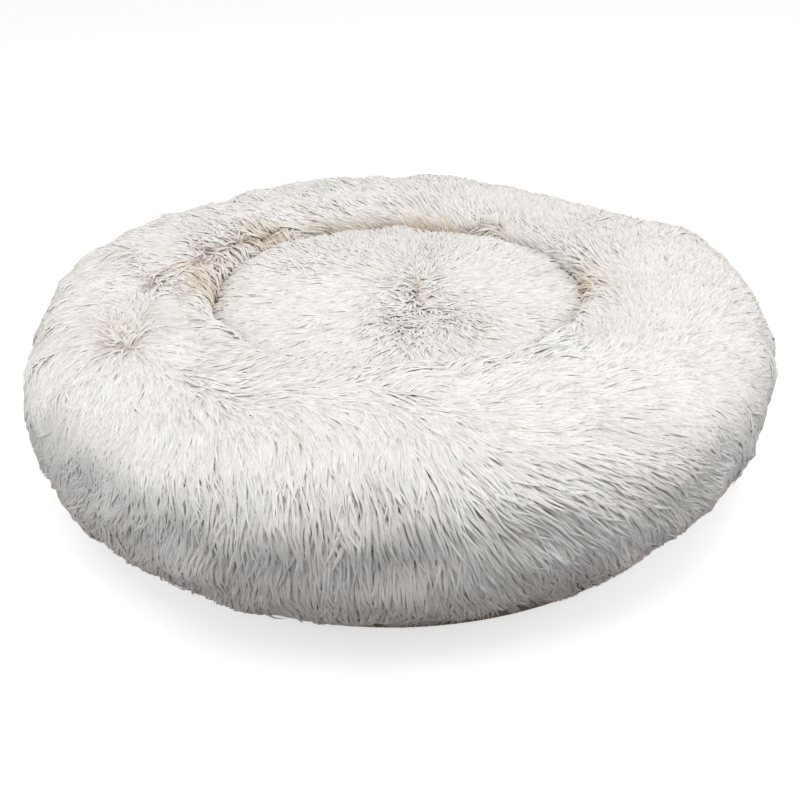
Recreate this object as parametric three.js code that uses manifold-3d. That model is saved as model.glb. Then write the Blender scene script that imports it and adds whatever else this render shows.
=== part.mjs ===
// Round pet bed: a stuffed ring in long pile fur, a loose fur cushion lying in its well, and a plain
// base whose back half unzips so that the cover comes off.
// Millimetres, +Z up. The origin is the centre of the base's underside, and the front faces -Y.
import * as THREE from "three";
import { mergeVertices } from "three/addons/utils/BufferGeometryUtils.js";
import Module from "manifold-3d";

const wasm = await Module();
wasm.setup();

// The ring, measured over its pile
const bedDiameter = 808;
const bedHeight = 190;
const wellDiameter = 408;
const crestPlaceShare = 0.378;
const widestHeightShare = 0.59;

// Fullness of the ring's section: 2 is an ellipse, and more is squarer
const topFullness = 2.8;
const pileTuckFullness = 2.4;
const stuffedTuckFullness = 2.0;
const wellSideFullness = 3.2;

// Cloths and what is between them
const pileLength = 22;
const furBacking = 2;
const linerCloth = 0.85;
const baseCloth = 1.6;
const wellFloorCloth = 1.5;
const clothGap = 0.35;
const seamGap = 0.35;
const ringSag = 5;

// The plain side band of the base, and the zip that takes its place along the back
const bandHeight = 21.8;
const bandCloth = 0.8;
const coilWidth = 2.0;
const coilThickness = 2.2;
const coilSpacing = 1.4;
const zipGap = 0.45;
const zipEndInset = 16;
const stopLength = 2.6;
const stopRim = 0.5;

// The slider and its pull
const sliderLength = 12;
const sliderWidth = 9;
const sliderPlate = 1.2;
const postLength = 3;
const postThickness = 0.6;
const bridgeWidth = 2;
const bridgeFoot = 1.2;
const bridgeReachShare = 0.375;
const bridgeBar = 1.0;
const bridgeRoom = 3;
const pullLength = 24;
const pullWidth = 6.4;
const pullThickness = 1.2;
const pullPin = 1.2;
const pullWindowRoom = 0.6;

// The loose cushion, measured over its pile
const cushionHeight = 168;
const cushionGap = 3;
const cushionWidestShare = 0.52;
const cushionTopFullness = 5.5;
const cushionFootFullness = 3.0;
const cushionFootDepth = 24;
const undersideCloth = 1.2;
const bagCloth = 0.8;

// Swells and dents of the stuffed ring, as shares of its section's half sizes
const settledShare = 0.018;
const swellTurns = [1, 2, 3, 5, 8, 11];
const swellShares = [0.018, 0.026, 0.031, 0.034, 0.01, 0.008];
const swellStarts = [-2.6, 2.9, -0.6, -1.55, 2.1, 4.0];
const bumpAngles = [262, 235, 38];
const bumpShares = [0.035, -0.087, -0.1];
const bumpSpreads = [45, 12, 14];
const seamDentShare = 0.02;
const seamDentSpread = 6;

// Girth angles between which the swells set in below the widest line, and fade out towards the well
const swellStartGirths = [-45, 0];
const swellEndGirths = [105, 175];

// The lower wall at the front right tucks under further than the rest
const tuckAngle = 305;
const tuckSpread = 24;
const tuckShare = 0.2;

// The cushion's hollow and swell (of negative depth), as shares of its radius and of its rise
const hollowPlaceShares = [[0.09, -0.23], [-0.6, 0.5]];
const hollowSpreadShares = [[0.2, 0.17], [0.55, 0.4]];
const hollowDepthShares = [0.15, -0.1];

// How finely the round forms are divided
const ringSteps = 48;
const panelCount = 4;
const girthSteps = 20;
const zipSteps = 43;
const cushionSteps = 36;
const cushionSideSteps = 4;
const cushionTopShares = [1, 0.992, 0.965, 0.915, 0.83, 0.7, 0.5, 0.25, 0];

// Colours seen on the bed, and plain cloth colours for what it hides
const furColour = 0xe6e1da;
const baseColour = 0x9a9184;
const linerColour = 0xdcd9d2;
const fillColour = 0xf4f3f0;
const zipColour = 0xcfc8bb;
const metalColour = 0xb9b5ac;

const turn = 2 * Math.PI;
const quarter = Math.PI / 2;
const degree = Math.PI / 180;

// Places and half sizes that follow from the sizes above
const outerRadius = bedDiameter / 2;
const wellRadius = wellDiameter / 2;
const crestRadius = wellRadius + (outerRadius - wellRadius) * crestPlaceShare;
const widestHeight = bedHeight * widestHeightShare;
const furThickness = pileLength + furBacking;
const ringFloor = baseCloth + clothGap;
const wellFloorTop = ringFloor + wellFloorCloth;
const bandTop = ringFloor + bandHeight;

// One layer of the ring: how far its section reaches out, in, up and down from the crest's centre line
function ringLayer(inset, floor) {
  return {
    outward: outerRadius - crestRadius - inset,
    inward: crestRadius - wellRadius - inset,
    upward: bedHeight - widestHeight - inset,
    downward: widestHeight - ringFloor + ringSag - (floor - ringFloor),
    tuckFullness: stuffedTuckFullness,
    floor,
  };
}

const pileLayer = {
  ...ringLayer(0, 0),
  downward: widestHeight,
  tuckFullness: pileTuckFullness,
};
const backingLayer = ringLayer(furThickness, ringFloor - clothGap);
const linerOutside = ringLayer(furThickness + clothGap, ringFloor);
const linerInside = ringLayer(furThickness + clothGap + linerCloth, ringFloor + linerCloth);
const fillSurface = ringLayer(
  furThickness + clothGap * 2 + linerCloth,
  ringFloor + linerCloth + clothGap,
);

function smoothStep(low, high, value) {
  const t = Math.min(1, Math.max(0, (value - low) / (high - low)));
  return t * t * (3 - 2 * t);
}

// A rounded bump of height 1 at an angle round the bed, all in degrees
function bump(angle, centre, spread) {
  const away = ((angle - centre + 540) % 360) - 180;
  return Math.exp(-((away / spread) ** 2));
}

// How much fuller or thinner the stuffed ring is at a place round the bed and round its section
function fullnessAt(around, girth) {
  const angle = around / degree;
  let change = -settledShare;
  swellTurns.forEach((turns, i) => {
    change += swellShares[i] * Math.cos(turns * around + swellStarts[i]);
  });
  bumpAngles.forEach((centre, i) => {
    change += bumpShares[i] * bump(angle, centre, bumpSpreads[i]);
  });
  for (let seam = 0; seam < panelCount; seam += 1) {
    change -= seamDentShare * bump(angle, (360 * seam) / panelCount, seamDentSpread);
  }
  const rising = smoothStep(...swellStartGirths, girth / degree);
  const falling = 1 - smoothStep(...swellEndGirths, girth / degree);
  return 1 + change * rising * falling;
}

// The share by which the outer wall is drawn in below its widest line
function tuckAt(around, girth) {
  const low = Math.cos(girth) > 0 && Math.sin(girth) < 0;
  const depth = low ? Math.sin(2 * girth) ** 2 : 0;
  return 1 - tuckShare * bump(around / degree, tuckAngle, tuckSpread) * depth;
}

// Fullness of the section's quadrant that a girth angle lies in
function quadrantFullness(layer, girth) {
  if (Math.sin(girth) >= 0) return topFullness;
  return Math.cos(girth) >= 0 ? layer.tuckFullness : wellSideFullness;
}

// A point of a layer. The girth angle runs 0 at the widest line outside, a quarter turn at the crest
// and a half turn at the well, and each quadrant of the section is a superellipse
function ringPoint(layer, around, girth) {
  const power = 2 / quadrantFullness(layer, girth);
  const across = Math.cos(girth);
  const rise = Math.sin(girth);
  const fullness = fullnessAt(around, girth);
  const halfWidth = across >= 0 ? layer.outward * tuckAt(around, girth) : -layer.inward;
  const halfHeight = rise >= 0 ? layer.upward : -layer.downward;
  const radius = crestRadius + halfWidth * Math.abs(across) ** power * fullness;
  const height = widestHeight + halfHeight * Math.abs(rise) ** power * fullness;
  return new THREE.Vector3(
    radius * Math.cos(around),
    radius * Math.sin(around),
    Math.max(height, layer.floor),
  );
}

// The girth angle below the widest line at which a layer comes down to a height
function girthAtHeight(layer, height, fullness) {
  const share = Math.min(1, (widestHeight - height) / layer.downward);
  return Math.asin(share ** (fullness / 2));
}

// Where the fur ends: outside just above the side band, and in the well just above its floor
function furEdges(layer) {
  return [
    -girthAtHeight(layer, bandTop + clothGap, layer.tuckFullness),
    Math.PI + girthAtHeight(layer, wellFloorTop + clothGap, wellSideFullness),
  ];
}

function radiusOf(layer, girth) {
  const power = 2 / quadrantFullness(layer, girth);
  const half = Math.cos(girth) >= 0 ? layer.outward : -layer.inward;
  return crestRadius + half * Math.abs(Math.cos(girth)) ** power;
}

const bandInnerRadius = radiusOf(backingLayer, furEdges(backingLayer)[0]) + zipGap;
const bandOuterRadius = bandInnerRadius + bandCloth;
const wellFloorRadius =
  (radiusOf(pileLayer, furEdges(pileLayer)[1]) + radiusOf(backingLayer, furEdges(backingLayer)[1])) / 2;

function closedGeometry(points, triangles) {
  const geometry = new THREE.BufferGeometry();
  geometry.setAttribute(
    "position",
    new THREE.Float32BufferAttribute(points.flatMap((p) => [p.x, p.y, p.z]), 3),
  );
  geometry.setIndex(triangles);
  return geometry;
}

// A wall between an outer and an inner grid of points. A grid is rows of points, and the rows, the
// points in a row or both may run round into themselves. A row of one point is a pole. Open edges
// are closed between the two grids, and a slit is one square left out of both
function wallBetween(outer, inner, { roundRows = false, roundPoints = false, slit = null }) {
  const points = [];
  const indexOf = (grid) => grid.map((row) => row.map((p) => points.push(p) - 1));
  const outside = indexOf(outer);
  const inside = indexOf(inner);
  const rows = outer.length;
  const columns = Math.max(...outer.map((row) => row.length));
  const at = (grid, r, c) => {
    const row = grid[r % rows];
    return row.length === 1 ? row[0] : row[c % columns];
  };
  const triangles = [];
  const addQuad = (a, b, c, d) => {
    if (a !== b && b !== c && a !== c) triangles.push(a, b, c);
    if (a !== c && c !== d && a !== d) triangles.push(a, c, d);
  };
  const lastRow = roundRows ? rows : rows - 1;
  const lastColumn = roundPoints ? columns : columns - 1;
  for (let r = 0; r < lastRow; r += 1) {
    for (let c = 0; c < lastColumn; c += 1) {
      if (slit && slit[0] === r && slit[1] === c) continue;
      addQuad(at(outside, r, c), at(outside, r, c + 1), at(outside, r + 1, c + 1), at(outside, r + 1, c));
      addQuad(at(inside, r, c), at(inside, r + 1, c), at(inside, r + 1, c + 1), at(inside, r, c + 1));
    }
  }
  const addRim = (r0, c0, r1, c1) => {
    addQuad(at(outside, r1, c1), at(outside, r0, c0), at(inside, r0, c0), at(inside, r1, c1));
  };
  if (slit) {
    const [r, c] = slit;
    addRim(r, c + 1, r, c);
    addRim(r, c, r + 1, c);
    addRim(r + 1, c, r + 1, c + 1);
    addRim(r + 1, c + 1, r, c + 1);
  }
  if (!roundRows) {
    for (let c = 0; c < lastColumn; c += 1) {
      addRim(0, c, 0, c + 1);
      if (outer[rows - 1].length > 1) addRim(rows - 1, c + 1, rows - 1, c);
    }
  }
  if (!roundPoints) {
    for (let r = 0; r < lastRow; r += 1) {
      addRim(r + 1, 0, r, 0);
      addRim(r, columns - 1, r + 1, columns - 1);
    }
  }
  return closedGeometry(points, triangles);
}

// A solid whose surface is one grid of points, closed round itself both ways
function ringSolid(grid) {
  const points = grid.flat();
  const columns = grid[0].length;
  const triangles = [];
  grid.forEach((row, r) => {
    row.forEach((point, c) => {
      const next = (r + 1) % grid.length;
      const side = (c + 1) % columns;
      triangles.push(r * columns + c, r * columns + side, next * columns + side);
      triangles.push(r * columns + c, next * columns + side, next * columns + c);
    });
  });
  return closedGeometry(points, triangles);
}

function furMaterial() {
  return new THREE.MeshStandardMaterial({ color: furColour, roughness: 0.95, metalness: 0 });
}

function clothMaterial(color) {
  return new THREE.MeshStandardMaterial({ color, roughness: 0.85, metalness: 0 });
}

function namedMesh(name, geometry, material) {
  const mesh = new THREE.Mesh(geometry, material);
  mesh.name = name;
  return mesh;
}

const bed = new THREE.Group();

// One quarter of the ring's fur cover: pile and backing from the side band up over the crest and
// down to the well floor
function furPanel(name, quarterIndex) {
  const seamAngle = seamGap / 2 / wellRadius;
  const start = quarter * quarterIndex + seamAngle;
  const end = quarter * (quarterIndex + 1) - seamAngle;
  const steps = ringSteps / panelCount;
  const rowsOf = (layer) => {
    const [lowGirth, highGirth] = furEdges(layer);
    return Array.from({ length: girthSteps + 1 }, (_, r) => {
      const girth = lowGirth + ((highGirth - lowGirth) * r) / girthSteps;
      return Array.from({ length: steps + 1 }, (_, c) => {
        const onGrid = quarter * (quarterIndex + c / steps);
        return ringPoint(layer, Math.min(end, Math.max(start, onGrid)), girth);
      });
    });
  };
  return namedMesh(name, wallBetween(rowsOf(pileLayer), rowsOf(backingLayer), {}), furMaterial());
}

bed.add(furPanel("bolster_fur_back_right", 0));
bed.add(furPanel("bolster_fur_back_left", 1));
bed.add(furPanel("bolster_fur_front_left", 2));
bed.add(furPanel("bolster_fur_front_right", 3));

// Girth angles of the stuffed ring inside the fur: every second one of the fur's, then two more where
// it lies flat on the base
const [furLowGirth, furHighGirth] = furEdges(backingLayer);
const stuffedGirths = Array.from(
  { length: girthSteps / 2 + 1 },
  (_, i) => furLowGirth + ((furHighGirth - furLowGirth) * 2 * i) / girthSteps,
);
stuffedGirths.push(3 * quarter);
stuffedGirths.push((3 * quarter + turn + furLowGirth) / 2);

function stuffedRows(layer) {
  return stuffedGirths.map((girth) =>
    Array.from({ length: ringSteps }, (_, c) => ringPoint(layer, (turn * c) / ringSteps, girth)),
  );
}

// The liner: the plain bag that holds the ring's filling, with the slit at the back it is stuffed by
function bolsterLiner() {
  const slit = [0, ringSteps / 4];
  const geometry = wallBetween(stuffedRows(linerOutside), stuffedRows(linerInside), {
    roundRows: true,
    roundPoints: true,
    slit,
  });
  return namedMesh("bolster_liner", geometry, clothMaterial(linerColour));
}

bed.add(bolsterLiner());
bed.add(namedMesh("bolster_fill", ringSolid(stuffedRows(fillSurface)), clothMaterial(fillColour)));

// A flat round of cloth lying at a height
function clothRound(name, radius, thickness, underside, color) {
  const geometry = new THREE.CylinderGeometry(radius, radius, thickness, ringSteps);
  geometry.rotateX(quarter);
  geometry.translate(0, 0, underside + thickness / 2);
  return namedMesh(name, geometry, clothMaterial(color));
}

bed.add(clothRound("base_fabric", bandOuterRadius, baseCloth, 0, baseColour));
bed.add(clothRound("well_floor", wellFloorRadius, wellFloorCloth, ringFloor, linerColour));

// A strip that runs round the bed between two angles, with a rectangular section
function arcStrip(name, innerRadius, thickness, low, high, start, end, steps, material) {
  const corners = [
    [innerRadius, low],
    [innerRadius + thickness, low],
    [innerRadius + thickness, high],
    [innerRadius, high],
  ];
  const points = [];
  for (let s = 0; s <= steps; s += 1) {
    const angle = start + ((end - start) * s) / steps;
    corners.forEach(([radius, z]) => {
      points.push(new THREE.Vector3(radius * Math.cos(angle), radius * Math.sin(angle), z));
    });
  }
  const triangles = [];
  for (let s = 0; s < steps; s += 1) {
    for (let k = 0; k < 4; k += 1) {
      const a = 4 * s + k;
      const b = 4 * s + ((k + 1) % 4);
      triangles.push(a, b + 4, b, a, a + 4, b + 4);
    }
  }
  const last = 4 * steps;
  triangles.push(0, 1, 2, 0, 2, 3);
  triangles.push(last, last + 2, last + 1, last, last + 3, last + 2);
  return namedMesh(name, closedGeometry(points, triangles), material);
}

// The side band round the front half. Along the back the zip's two tapes stand in its place
const bandEndGap = seamGap / bandInnerRadius;
bed.add(
  arcStrip(
    "base_side_band", bandInnerRadius, bandCloth, ringFloor, bandTop,
    Math.PI + bandEndGap, turn - bandEndGap, ringSteps / 2, clothMaterial(baseColour),
  ),
);

// The zip: two tapes, and a coil along the edge of each. The coils stand apart by the room that the
// slider's post runs in
const chainHeight = ringFloor + bandHeight / 2;
const coilInnerRadius = bandInnerRadius - (coilThickness - bandCloth) / 2;
const coilEdge = coilSpacing / 2 + coilWidth;
const tapeEdge = coilEdge + clothGap;
const zipEnd = zipEndInset / bandInnerRadius;

function zipTape(name, low, high) {
  return arcStrip(
    name, bandInnerRadius, bandCloth, low, high, 0, Math.PI, zipSteps, clothMaterial(zipColour),
  );
}

function zipCoil(name, low, high) {
  const material = new THREE.MeshStandardMaterial({ color: zipColour, roughness: 0.5, metalness: 0 });
  return arcStrip(
    name, coilInnerRadius, coilThickness, low, high, zipEnd, Math.PI - zipEnd, zipSteps, material,
  );
}

bed.add(zipTape("zip_tape_lower", ringFloor, chainHeight - tapeEdge));
bed.add(zipTape("zip_tape_upper", chainHeight + tapeEdge, bandTop));
bed.add(zipCoil("zip_coil_lower", chainHeight - coilEdge, chainHeight - coilSpacing / 2));
bed.add(zipCoil("zip_coil_upper", chainHeight + coilSpacing / 2, chainHeight + coilEdge));

// Stops moulded at the chain's ends: one on each coil where the zip is closed, and one across both
// coils at the other end
function zipStop(name, low, high, start) {
  const material = new THREE.MeshStandardMaterial({ color: zipColour, roughness: 0.4, metalness: 0 });
  return arcStrip(
    name, coilInnerRadius - stopRim, coilThickness + 2 * stopRim, low, high,
    start, start + stopLength / bandInnerRadius, 1, material,
  );
}

const stopStart = zipEnd - (stopLength + clothGap) / bandInnerRadius;
const farStopStart = Math.PI - zipEnd + clothGap / bandInnerRadius;
bed.add(zipStop("zip_top_stop_lower", chainHeight - coilEdge, chainHeight - coilSpacing / 2, stopStart));
bed.add(zipStop("zip_top_stop_upper", chainHeight + coilSpacing / 2, chainHeight + coilEdge, stopStart));
bed.add(zipStop("zip_bottom_stop", chainHeight - coilEdge, chainHeight + coilEdge, farStopStart));

function toSolid(geometry) {
  const bare = geometry.clone();
  bare.deleteAttribute("normal");
  bare.deleteAttribute("uv");
  const merged = mergeVertices(bare);
  const vertProperties = new Float32Array(merged.attributes.position.array);
  const triVerts = new Uint32Array(merged.index.array);
  return new wasm.Manifold(new wasm.Mesh({ numProp: 3, vertProperties, triVerts }));
}

function fromSolid(solid) {
  const mesh = solid.getMesh();
  const geometry = new THREE.BufferGeometry();
  geometry.setAttribute("position", new THREE.BufferAttribute(new Float32Array(mesh.vertProperties), 3));
  geometry.setIndex(Array.from(mesh.triVerts));
  return geometry;
}

// A block given by its outward, along and upward limits
function block([out0, out1], [along0, along1], [up0, up1]) {
  const geometry = new THREE.BoxGeometry(out1 - out0, along1 - along0, up1 - up0);
  geometry.translate((out0 + out1) / 2, (along0 + along1) / 2, (up0 + up1) / 2);
  return toSolid(geometry);
}

// The slider, in its own frame: X out of the wall, Y along the zip, Z up, centred on the chain.
// Two plates hold the coils between them, a post joins the plates, and the bridge carries the pull
const outerPlateBase = coilInnerRadius + coilThickness + zipGap;
const innerPlateBase = coilInnerRadius - zipGap - sliderPlate;
const outerPlateTop = outerPlateBase + sliderPlate;
const bridgeBase = outerPlateTop + bridgeRoom;
const bridgeReach = sliderLength * bridgeReachShare;
const closedAngle = zipEnd + (sliderLength / 2 + zipGap) / bandInnerRadius;

function zipSlider() {
  const along = [-sliderLength / 2, sliderLength / 2];
  const across = [-sliderWidth / 2, sliderWidth / 2];
  const bridgeAcross = [-bridgeWidth / 2, bridgeWidth / 2];
  const footFar = bridgeReach;
  const footNear = bridgeReach - bridgeFoot;
  const body = block([innerPlateBase, innerPlateBase + sliderPlate], along, across)
    .add(block([outerPlateBase, outerPlateTop], along, across))
    .add(
      block(
        [innerPlateBase, outerPlateTop],
        [-postLength / 2, postLength / 2],
        [-postThickness / 2, postThickness / 2],
      ),
    )
    .add(block([outerPlateBase, bridgeBase + bridgeBar], [footNear, footFar], bridgeAcross))
    .add(block([outerPlateBase, bridgeBase + bridgeBar], [-footFar, -footNear], bridgeAcross))
    .add(block([bridgeBase, bridgeBase + bridgeBar], [-footFar, footFar], bridgeAcross));
  const material = new THREE.MeshStandardMaterial({ color: metalColour, roughness: 0.35, metalness: 0.9 });
  const mesh = namedMesh("zip_slider", fromSolid(body), material);
  mesh.position.set(0, 0, chainHeight);
  return mesh;
}

// The pull: a flat tab whose window goes round a foot of the bridge, with its pin under the bar
const pinRadius = outerPlateTop + bridgeRoom / 2;
const windowLength = Math.hypot(bridgeReach, bridgeRoom / 2 + bridgeBar) + pullWindowRoom - pullPin / 2;

function zipPull() {
  const half = pullWidth / 2;
  const tab = new THREE.Shape();
  tab.moveTo(-pullPin / 2, -half);
  tab.lineTo(pullLength - half, -half);
  tab.absarc(pullLength - half, 0, half, -quarter, quarter, false);
  tab.lineTo(-pullPin / 2, half);
  tab.closePath();
  const windowHalf = bridgeWidth / 2 + pullWindowRoom;
  const windowStart = pullPin / 2;
  const hole = new THREE.Path();
  hole.moveTo(windowStart, -windowHalf);
  hole.lineTo(windowStart, windowHalf);
  hole.lineTo(windowStart + windowLength, windowHalf);
  hole.lineTo(windowStart + windowLength, -windowHalf);
  hole.closePath();
  tab.holes.push(hole);
  const geometry = new THREE.ExtrudeGeometry(tab, {
    depth: pullThickness,
    bevelEnabled: false,
    curveSegments: 6,
  });
  geometry.translate(0, 0, -pullThickness / 2);
  geometry.rotateX(quarter);
  geometry.rotateZ(quarter);
  geometry.translate(pinRadius, 0, 0);
  const material = new THREE.MeshStandardMaterial({ color: metalColour, roughness: 0.35, metalness: 0.9 });
  const mesh = namedMesh("zip_pull", geometry, material);
  mesh.position.set(0, 0, chainHeight);
  return mesh;
}

const sliderPlace = new THREE.Group();
sliderPlace.rotation.z = closedAngle;
sliderPlace.add(zipSlider());
sliderPlace.add(zipPull());
bed.add(sliderPlace);

// The loose cushion: its rows run from the foot up the side and over the crown to the middle
const cushionFoot = wellFloorTop + clothGap;
const cushionRadius = wellRadius - cushionGap;
const cushionWidest = cushionFoot + cushionHeight * cushionWidestShare;
const undersideTop = cushionFoot + undersideCloth;

function cushionLayer(inset, floor) {
  return {
    radius: cushionRadius - inset,
    upward: cushionFoot + cushionHeight - cushionWidest - inset,
    downward: cushionWidest - cushionFoot + cushionFootDepth,
    floor,
  };
}

// How far the crown is pressed down at a place, for a layer that rises so far above the widest line
function hollowAt(x, y, upward) {
  let depth = 0;
  hollowPlaceShares.forEach(([placeX, placeY], i) => {
    const [spreadX, spreadY] = hollowSpreadShares[i];
    const awayX = (x / cushionRadius - placeX) / spreadX;
    const awayY = (y / cushionRadius - placeY) / spreadY;
    depth += hollowDepthShares[i] * Math.exp(-(awayX ** 2) - awayY ** 2);
  });
  return depth * upward;
}

function cushionRow(layer, reachShare, height, raised) {
  if (reachShare === 0) {
    const sunk = hollowAt(0, 0, cushionHeight - cushionWidest);
    return [new THREE.Vector3(0, 0, height - sunk)];
  }
  return Array.from({ length: cushionSteps }, (_, c) => {
    const angle = (turn * c) / cushionSteps;
    const x = layer.radius * reachShare * Math.cos(angle);
    const y = layer.radius * reachShare * Math.sin(angle);
    const sunk = raised ? hollowAt(x, y, cushionHeight - cushionWidest) : 0;
    return new THREE.Vector3(x, y, height - sunk);
  });
}

function cushionRows(layer) {
  const footShare = (cushionWidest - layer.floor) / layer.downward;
  const rows = [];
  for (let s = cushionSideSteps; s > 0; s -= 1) {
    const riseShare = (footShare * s) / cushionSideSteps;
    const reachShare = (1 - riseShare ** cushionFootFullness) ** (1 / cushionFootFullness);
    rows.push(cushionRow(layer, reachShare, cushionWidest - layer.downward * riseShare, false));
  }
  cushionTopShares.forEach((reachShare) => {
    const riseShare = (1 - reachShare ** cushionTopFullness) ** (1 / cushionTopFullness);
    rows.push(cushionRow(layer, reachShare, cushionWidest + layer.upward * riseShare, riseShare > 0));
  });
  return rows;
}

const seamLevel = undersideTop + clothGap;
const cushionPile = cushionLayer(0, seamLevel);
const cushionBacking = cushionLayer(furThickness, seamLevel);
const bagOutside = cushionLayer(furThickness + clothGap, seamLevel);
const bagInside = cushionLayer(furThickness + clothGap + bagCloth, seamLevel + bagCloth);
const cushionStuffing = cushionLayer(
  furThickness + clothGap * 2 + bagCloth,
  seamLevel + bagCloth + clothGap,
);

// Rows closed underneath by a middle point at the layer's floor
function withFloor(layer) {
  return [[new THREE.Vector3(0, 0, layer.floor)], ...cushionRows(layer)];
}

const cushion = new THREE.Group();

// The cushion's fur: top and side in one, open underneath
function cushionFur() {
  const geometry = wallBetween(cushionRows(cushionPile), cushionRows(cushionBacking), {
    roundPoints: true,
  });
  return namedMesh("cushion_fur_top", geometry, furMaterial());
}

// The plain round that closes the cushion's cover underneath
function cushionUnderside() {
  const footShare = (cushionWidest - seamLevel) / cushionPile.downward;
  const reachShare = (1 - footShare ** cushionFootFullness) ** (1 / cushionFootFullness);
  return clothRound(
    "cushion_underside", cushionRadius * reachShare, undersideCloth, cushionFoot, baseColour,
  );
}

// The cushion's own bag, with the slit it is stuffed by at the back of its side
function cushionBag() {
  const slit = [cushionSideSteps, cushionSteps / 4];
  const geometry = wallBetween(withFloor(bagOutside), withFloor(bagInside), {
    roundPoints: true,
    slit,
  });
  return namedMesh("cushion_inner_bag", geometry, clothMaterial(linerColour));
}

// The filling: one surface from its flat foot to its crown
function cushionFill() {
  const rows = withFloor(cushionStuffing);
  const points = rows.flat();
  const middle = rows.length - 1;
  const at = (r, c) => {
    if (r === 0) return 0;
    if (r === middle) return points.length - 1;
    return 1 + (r - 1) * cushionSteps + (c % cushionSteps);
  };
  const triangles = [];
  for (let r = 0; r < middle; r += 1) {
    for (let c = 0; c < cushionSteps; c += 1) {
      if (r > 0) triangles.push(at(r, c), at(r, c + 1), at(r + 1, c + 1));
      if (r === 0) triangles.push(0, at(1, c + 1), at(1, c));
      else if (r + 1 < middle) triangles.push(at(r, c), at(r + 1, c + 1), at(r + 1, c));
    }
  }
  return namedMesh("cushion_fill", closedGeometry(points, triangles), clothMaterial(fillColour));
}

cushion.add(cushionFur());
cushion.add(cushionUnderside());
cushion.add(cushionBag());
cushion.add(cushionFill());
bed.add(cushion);

export default bed;
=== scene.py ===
# Round pet bed: a stuffed ring with a loose cushion in its well, both covered in long plush pile, on a
# plain base that unzips along the back. Metres, +Z up, and the front faces -Y.
# The sections follow the bed as it is sewn, stuffed and put together.
import math

import bpy
import numpy as np
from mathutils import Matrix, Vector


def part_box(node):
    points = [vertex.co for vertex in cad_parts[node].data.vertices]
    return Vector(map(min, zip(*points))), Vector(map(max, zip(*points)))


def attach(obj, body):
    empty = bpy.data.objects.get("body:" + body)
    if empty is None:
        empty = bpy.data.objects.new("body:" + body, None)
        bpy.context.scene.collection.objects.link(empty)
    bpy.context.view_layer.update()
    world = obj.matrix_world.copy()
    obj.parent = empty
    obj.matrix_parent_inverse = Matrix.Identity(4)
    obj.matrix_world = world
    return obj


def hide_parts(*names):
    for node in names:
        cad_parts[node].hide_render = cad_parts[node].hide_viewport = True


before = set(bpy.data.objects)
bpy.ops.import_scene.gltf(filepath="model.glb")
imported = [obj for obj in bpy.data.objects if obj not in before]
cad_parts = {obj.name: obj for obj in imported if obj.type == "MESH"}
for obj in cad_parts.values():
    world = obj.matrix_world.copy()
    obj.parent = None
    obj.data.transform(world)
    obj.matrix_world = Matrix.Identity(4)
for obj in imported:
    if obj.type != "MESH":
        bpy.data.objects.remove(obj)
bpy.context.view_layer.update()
mm = 0.001
turn = 2 * math.pi
scene = bpy.context.scene

# The view
# The photograph is taken from above the bed's front, at about arm's length, with the lens in the middle
# of a square picture. Pixel places in this file are in that picture, 800 pixels each way.
PICTURE_SIDE = 800
CAMERA_ELEVATION = math.radians(30.75)
CAMERA_ROLL = math.radians(-1.5)
CAMERA_DISTANCE = 0.930
CAMERA_TARGET = np.array([0.0, -0.1123, 0.090])
FOCAL_PIXELS = 898
SENSOR_WIDTH = 36

camera_forward = np.array([0.0, math.cos(CAMERA_ELEVATION), -math.sin(CAMERA_ELEVATION)])
camera_up = np.array([0.0, math.sin(CAMERA_ELEVATION), math.cos(CAMERA_ELEVATION)])
camera_place = CAMERA_TARGET - camera_forward * CAMERA_DISTANCE

camera = bpy.data.objects.new("view", bpy.data.cameras.new("view"))
camera.data.sensor_width = SENSOR_WIDTH
camera.data.lens = FOCAL_PIXELS / PICTURE_SIDE * SENSOR_WIDTH
camera.location = camera_place
camera.rotation_mode = "ZYX"
camera.rotation_euler = (math.pi / 2 - CAMERA_ELEVATION, 0, CAMERA_ROLL)
scene.collection.objects.link(camera)
scene.camera = camera


def picture_place(points):
    """Pixel places of points: across and down the picture by their share of the distance in front,
    turned about the picture's middle by the camera's roll."""
    away = points - camera_place
    depth = away @ camera_forward
    across = FOCAL_PIXELS * away[:, 0] / depth
    down = -FOCAL_PIXELS * (away @ camera_up) / depth
    turned_across = across * math.cos(CAMERA_ROLL) - down * math.sin(CAMERA_ROLL)
    turned_down = across * math.sin(CAMERA_ROLL) + down * math.cos(CAMERA_ROLL)
    return np.stack([turned_across, turned_down], axis=1) + PICTURE_SIDE / 2


# The ring's filling
# Loose polyester fibre, blown into the ring until it is firm. Its swells and dents give the whole bed
# its shape, so every layer over it follows the same section.
BED_RADIUS = 404 * mm
BED_HEIGHT = 190 * mm
WELL_RADIUS = 204 * mm
CREST_PLACE = 0.378
WIDEST_HEIGHT = 0.59 * BED_HEIGHT
TOP_FULLNESS = 2.8
PILE_TUCK_FULLNESS = 2.4
STUFFED_TUCK_FULLNESS = 2.0
WELL_FULLNESS = 3.2
FUR_THICKNESS = 24 * mm
RING_SAG = 5 * mm
RING_FLOOR = 1.95 * mm
SETTLED = 0.018
SWELLS = (
    (1, 0.018, -2.6), (2, 0.026, 2.9), (3, 0.031, -0.6), (5, 0.034, -1.55), (8, 0.010, 2.1), (11, 0.008, 4.0),
)
BUMPS = ((262, 0.035, 45), (235, -0.087, 12), (38, -0.1, 14))
SEAMS = ((0, -0.02, 6), (90, -0.02, 6), (180, -0.02, 6), (270, -0.02, 6))
SWELLS_BEGIN, SWELLS_END = (-45, 0), (105, 175)
TUCK_ANGLE, TUCK_SPREAD, TUCK_SHARE = 305, 24, 0.2
CLOTH_GAP = 0.35 * mm
LINER_CLOTH = 0.85 * mm
FILL_INSET = FUR_THICKNESS + 2 * CLOTH_GAP + LINER_CLOTH
RING_COLUMNS = 144
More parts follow.
